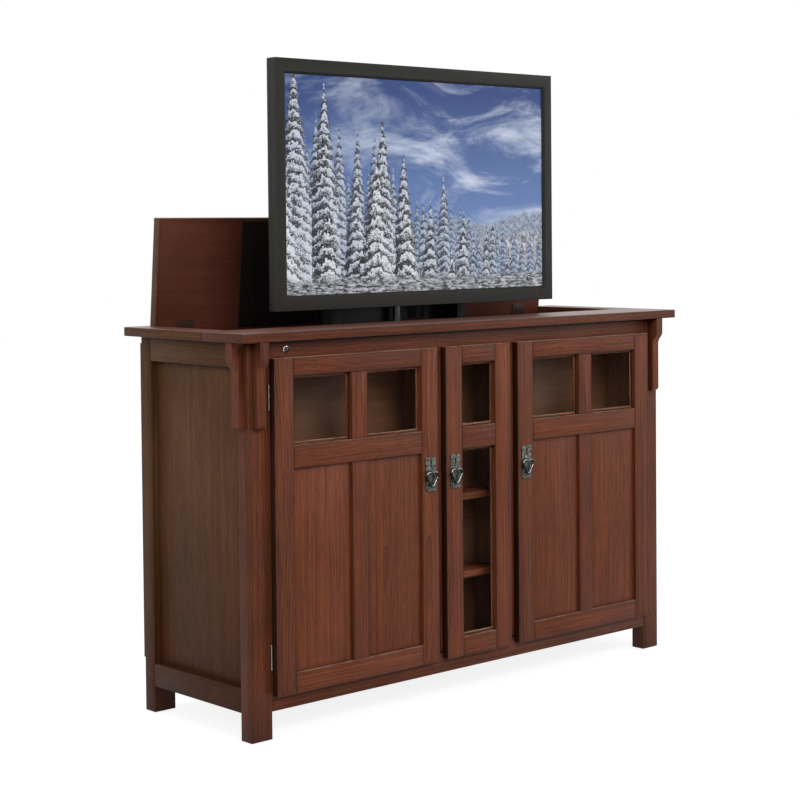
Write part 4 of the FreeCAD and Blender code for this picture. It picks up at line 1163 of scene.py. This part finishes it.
backValues = {  # heights are from the cover's lower edge, or from its upper edge where below 0
    "bevel": 0.0016, "slotPitch": 0.0088, "slotHalfWidth": 0.0018, "slotDepth": 0.0016,
    "ventRows": ((46, -0.085, -0.040), (23, 0.032, 0.062)),
    "bayLeft": 0.270, "bayRight": 0.100, "bayFoot": 0.090, "bayHead": 0.135, "bayDepth": 0.0022,
    "bayBevel": 0.001,
    "seams": (0.075, -0.105), "seamHalf": 0.31, "seamWidth": 0.0014, "seamDepth": 0.0008,
    "shells": 5, "shellStart": 0.258, "shellPitch": 0.031, "shellWidth": 0.018, "shellFoot": 0.104,
    "shellHead": 0.112, "shellWall": 0.0015, "screwInset": 0.022, "screwPitch": 0.30, "screwRise": 0.018,
}


def makeTelevisionBack(v):
    # the back cover with vent slots, a seam round the electronics bulge, a socket bay and screws
    cover = copyNode("tv_back_cover", "televisionBack", v["bevel"], 3)
    low, high = boxOf(cover.data, range(len(cover.data.vertices)))
    middle, face = (low.x + high.x) / 2, high.y

    def atHeight(z):
        return (low.z if z > 0 else high.z) + z

    slots = []
    for count, foot, head in v["ventRows"]:
        for index in range(count):
            x = middle + (index - (count - 1) / 2) * v["slotPitch"]
            slots.append(addBox((x - v["slotHalfWidth"], face - v["slotDepth"], atHeight(foot)),
                                (x + v["slotHalfWidth"], face + 0.004, atHeight(head))))
    carve(cover, slots)
    carve(cover, [addBox((high.x - v["bayLeft"], face - v["bayDepth"], low.z + v["bayFoot"]),
                         (high.x - v["bayRight"], face + 0.004, low.z + v["bayHead"]), v["bayBevel"])])
    for z in v["seams"]:
        carve(cover, [addBox((middle - v["seamHalf"], face - v["seamDepth"], atHeight(z)),
                             (middle + v["seamHalf"], face + 0.003, atHeight(z) + v["seamWidth"]))])
    fit("televisionBack", [cover], "tv_back_cover", "tvCase")

    shells = []
    wall, foot, head = v["shellWall"], low.z + v["shellFoot"], low.z + v["shellHead"]
    for index in range(v["shells"]):
        x = high.x - v["shellStart"] + v["shellPitch"] * index
        right = x + v["shellWidth"]
        shell = addBox((x, face - 0.0024, foot), (right, face - 0.0004, head), 0.0003)
        hollow = addBox((x + wall, face - 0.0018, foot + wall), (right - wall, face + 0.001, head - wall))
        shells.append(carve(shell, [hollow]))
    fit("socketShells", shells, "tv_back_cover", "hingeSteel", False)

    inset, pitch, rise = v["screwInset"], v["screwPitch"], v["screwRise"]
    ends = (low.x + inset, high.x - inset)
    spots = [(x, face - 0.0004, z) for x in (ends[0], low.x + pitch, high.x - pitch, ends[1])
             for z in (low.z + rise, high.z - rise)]
    spots += [(x, face - 0.0004, (low.z + high.z) / 2) for x in ends]
    screws = copiesAt(screwHead, spots, scale=0.9)
    fit("televisionBackScrews", screws, "tv_back_cover", "actuatorMetal", False)


makeTelevisionBack(backValues)
bpy.data.objects.remove(screwHead, do_unlink=True)
print("fittings made")

stageValues = {"floorHalf": 14.0, "floorPaint": (0.30, 0.30, 0.30), "glow": 0.855,
               "ambient": (0.45, 0.45, 0.46), "white": (1.0, 1.0, 1.0)}


def seenAsGround(tree):
    # 1 for the rays that show the background itself: the camera's, and those in gloss and glass
    camera, glossy, through = [source(tree, "ShaderNodeLightPath", kind)
                               for kind in ("Is Camera Ray", "Is Glossy Ray", "Is Transmission Ray")]
    return maths("MAXIMUM", camera, maths("MAXIMUM", glossy, through))


def makeStage(v):
    deselectAll()
    bpy.ops.mesh.primitive_plane_add(size=2 * v["floorHalf"], location=(0, 0, 0))
    floor = bpy.context.object
    floor.name = "studioFloor"
    tree, shader = newMaterial("floorPaint", baseColour=v["floorPaint"], emission=v["white"],
                               specular=0.1, roughness=0.8)
    dress(shader, glow=seenAsGround(tree) * v["glow"])
    floor.data.materials.append(finishes["floorPaint"])

    world = bpy.data.worlds.new("studioWorld")
    bpy.context.scene.world = world
    world.use_nodes = True
    sky = world.node_tree.nodes["Background"]
    feed(sky.inputs["Color"], blendColour(seenAsGround(world.node_tree), v["ambient"], v["white"]))
    feed(sky.inputs["Strength"], 1.0)


lampValues = [
    {"name": "keySoftbox", "place": (-1.0, -4.3, 3.3), "aim": (0, 0, 0.6), "size": 2.2, "power": 98.0},
    {"name": "fillSoftbox", "place": (3.6, -3.2, 2.0), "aim": (0, 0, 0.6), "size": 2.4, "power": 40.0},
    {"name": "sideSoftbox", "place": (-4.2, -0.8, 2.4), "aim": (-0.5, 0, 0.6), "size": 2.4, "power": 42.0},
    {"name": "smallSoftbox", "place": (-2.3, -3.4, 3.2), "aim": (0, 0, 0.6), "size": 0.35, "power": 13.0},
    {"name": "topSoftbox", "place": (0.3, 0.6, 4.2), "aim": (0, 0, 0.9), "size": 2.6, "power": 40.0},
]


def makeLamp(v):
    data = bpy.data.lights.new(v["name"], "AREA")
    data.shape = "SQUARE"
    data.size = v["size"]
    data.energy = v["power"]
    lamp = bpy.data.objects.new(v["name"], data)
    bpy.context.scene.collection.objects.link(lamp)
    lamp.location = v["place"]
    lamp.rotation_mode = "QUATERNION"
    lamp.rotation_quaternion = (Vector(v["aim"]) - Vector(v["place"])).to_track_quat("-Z", "Y")


makeStage(stageValues)
for values in lampValues:
    makeLamp(values)
bpy.context.scene.view_settings.view_transform = "Standard"
print("stage and lamps placed")
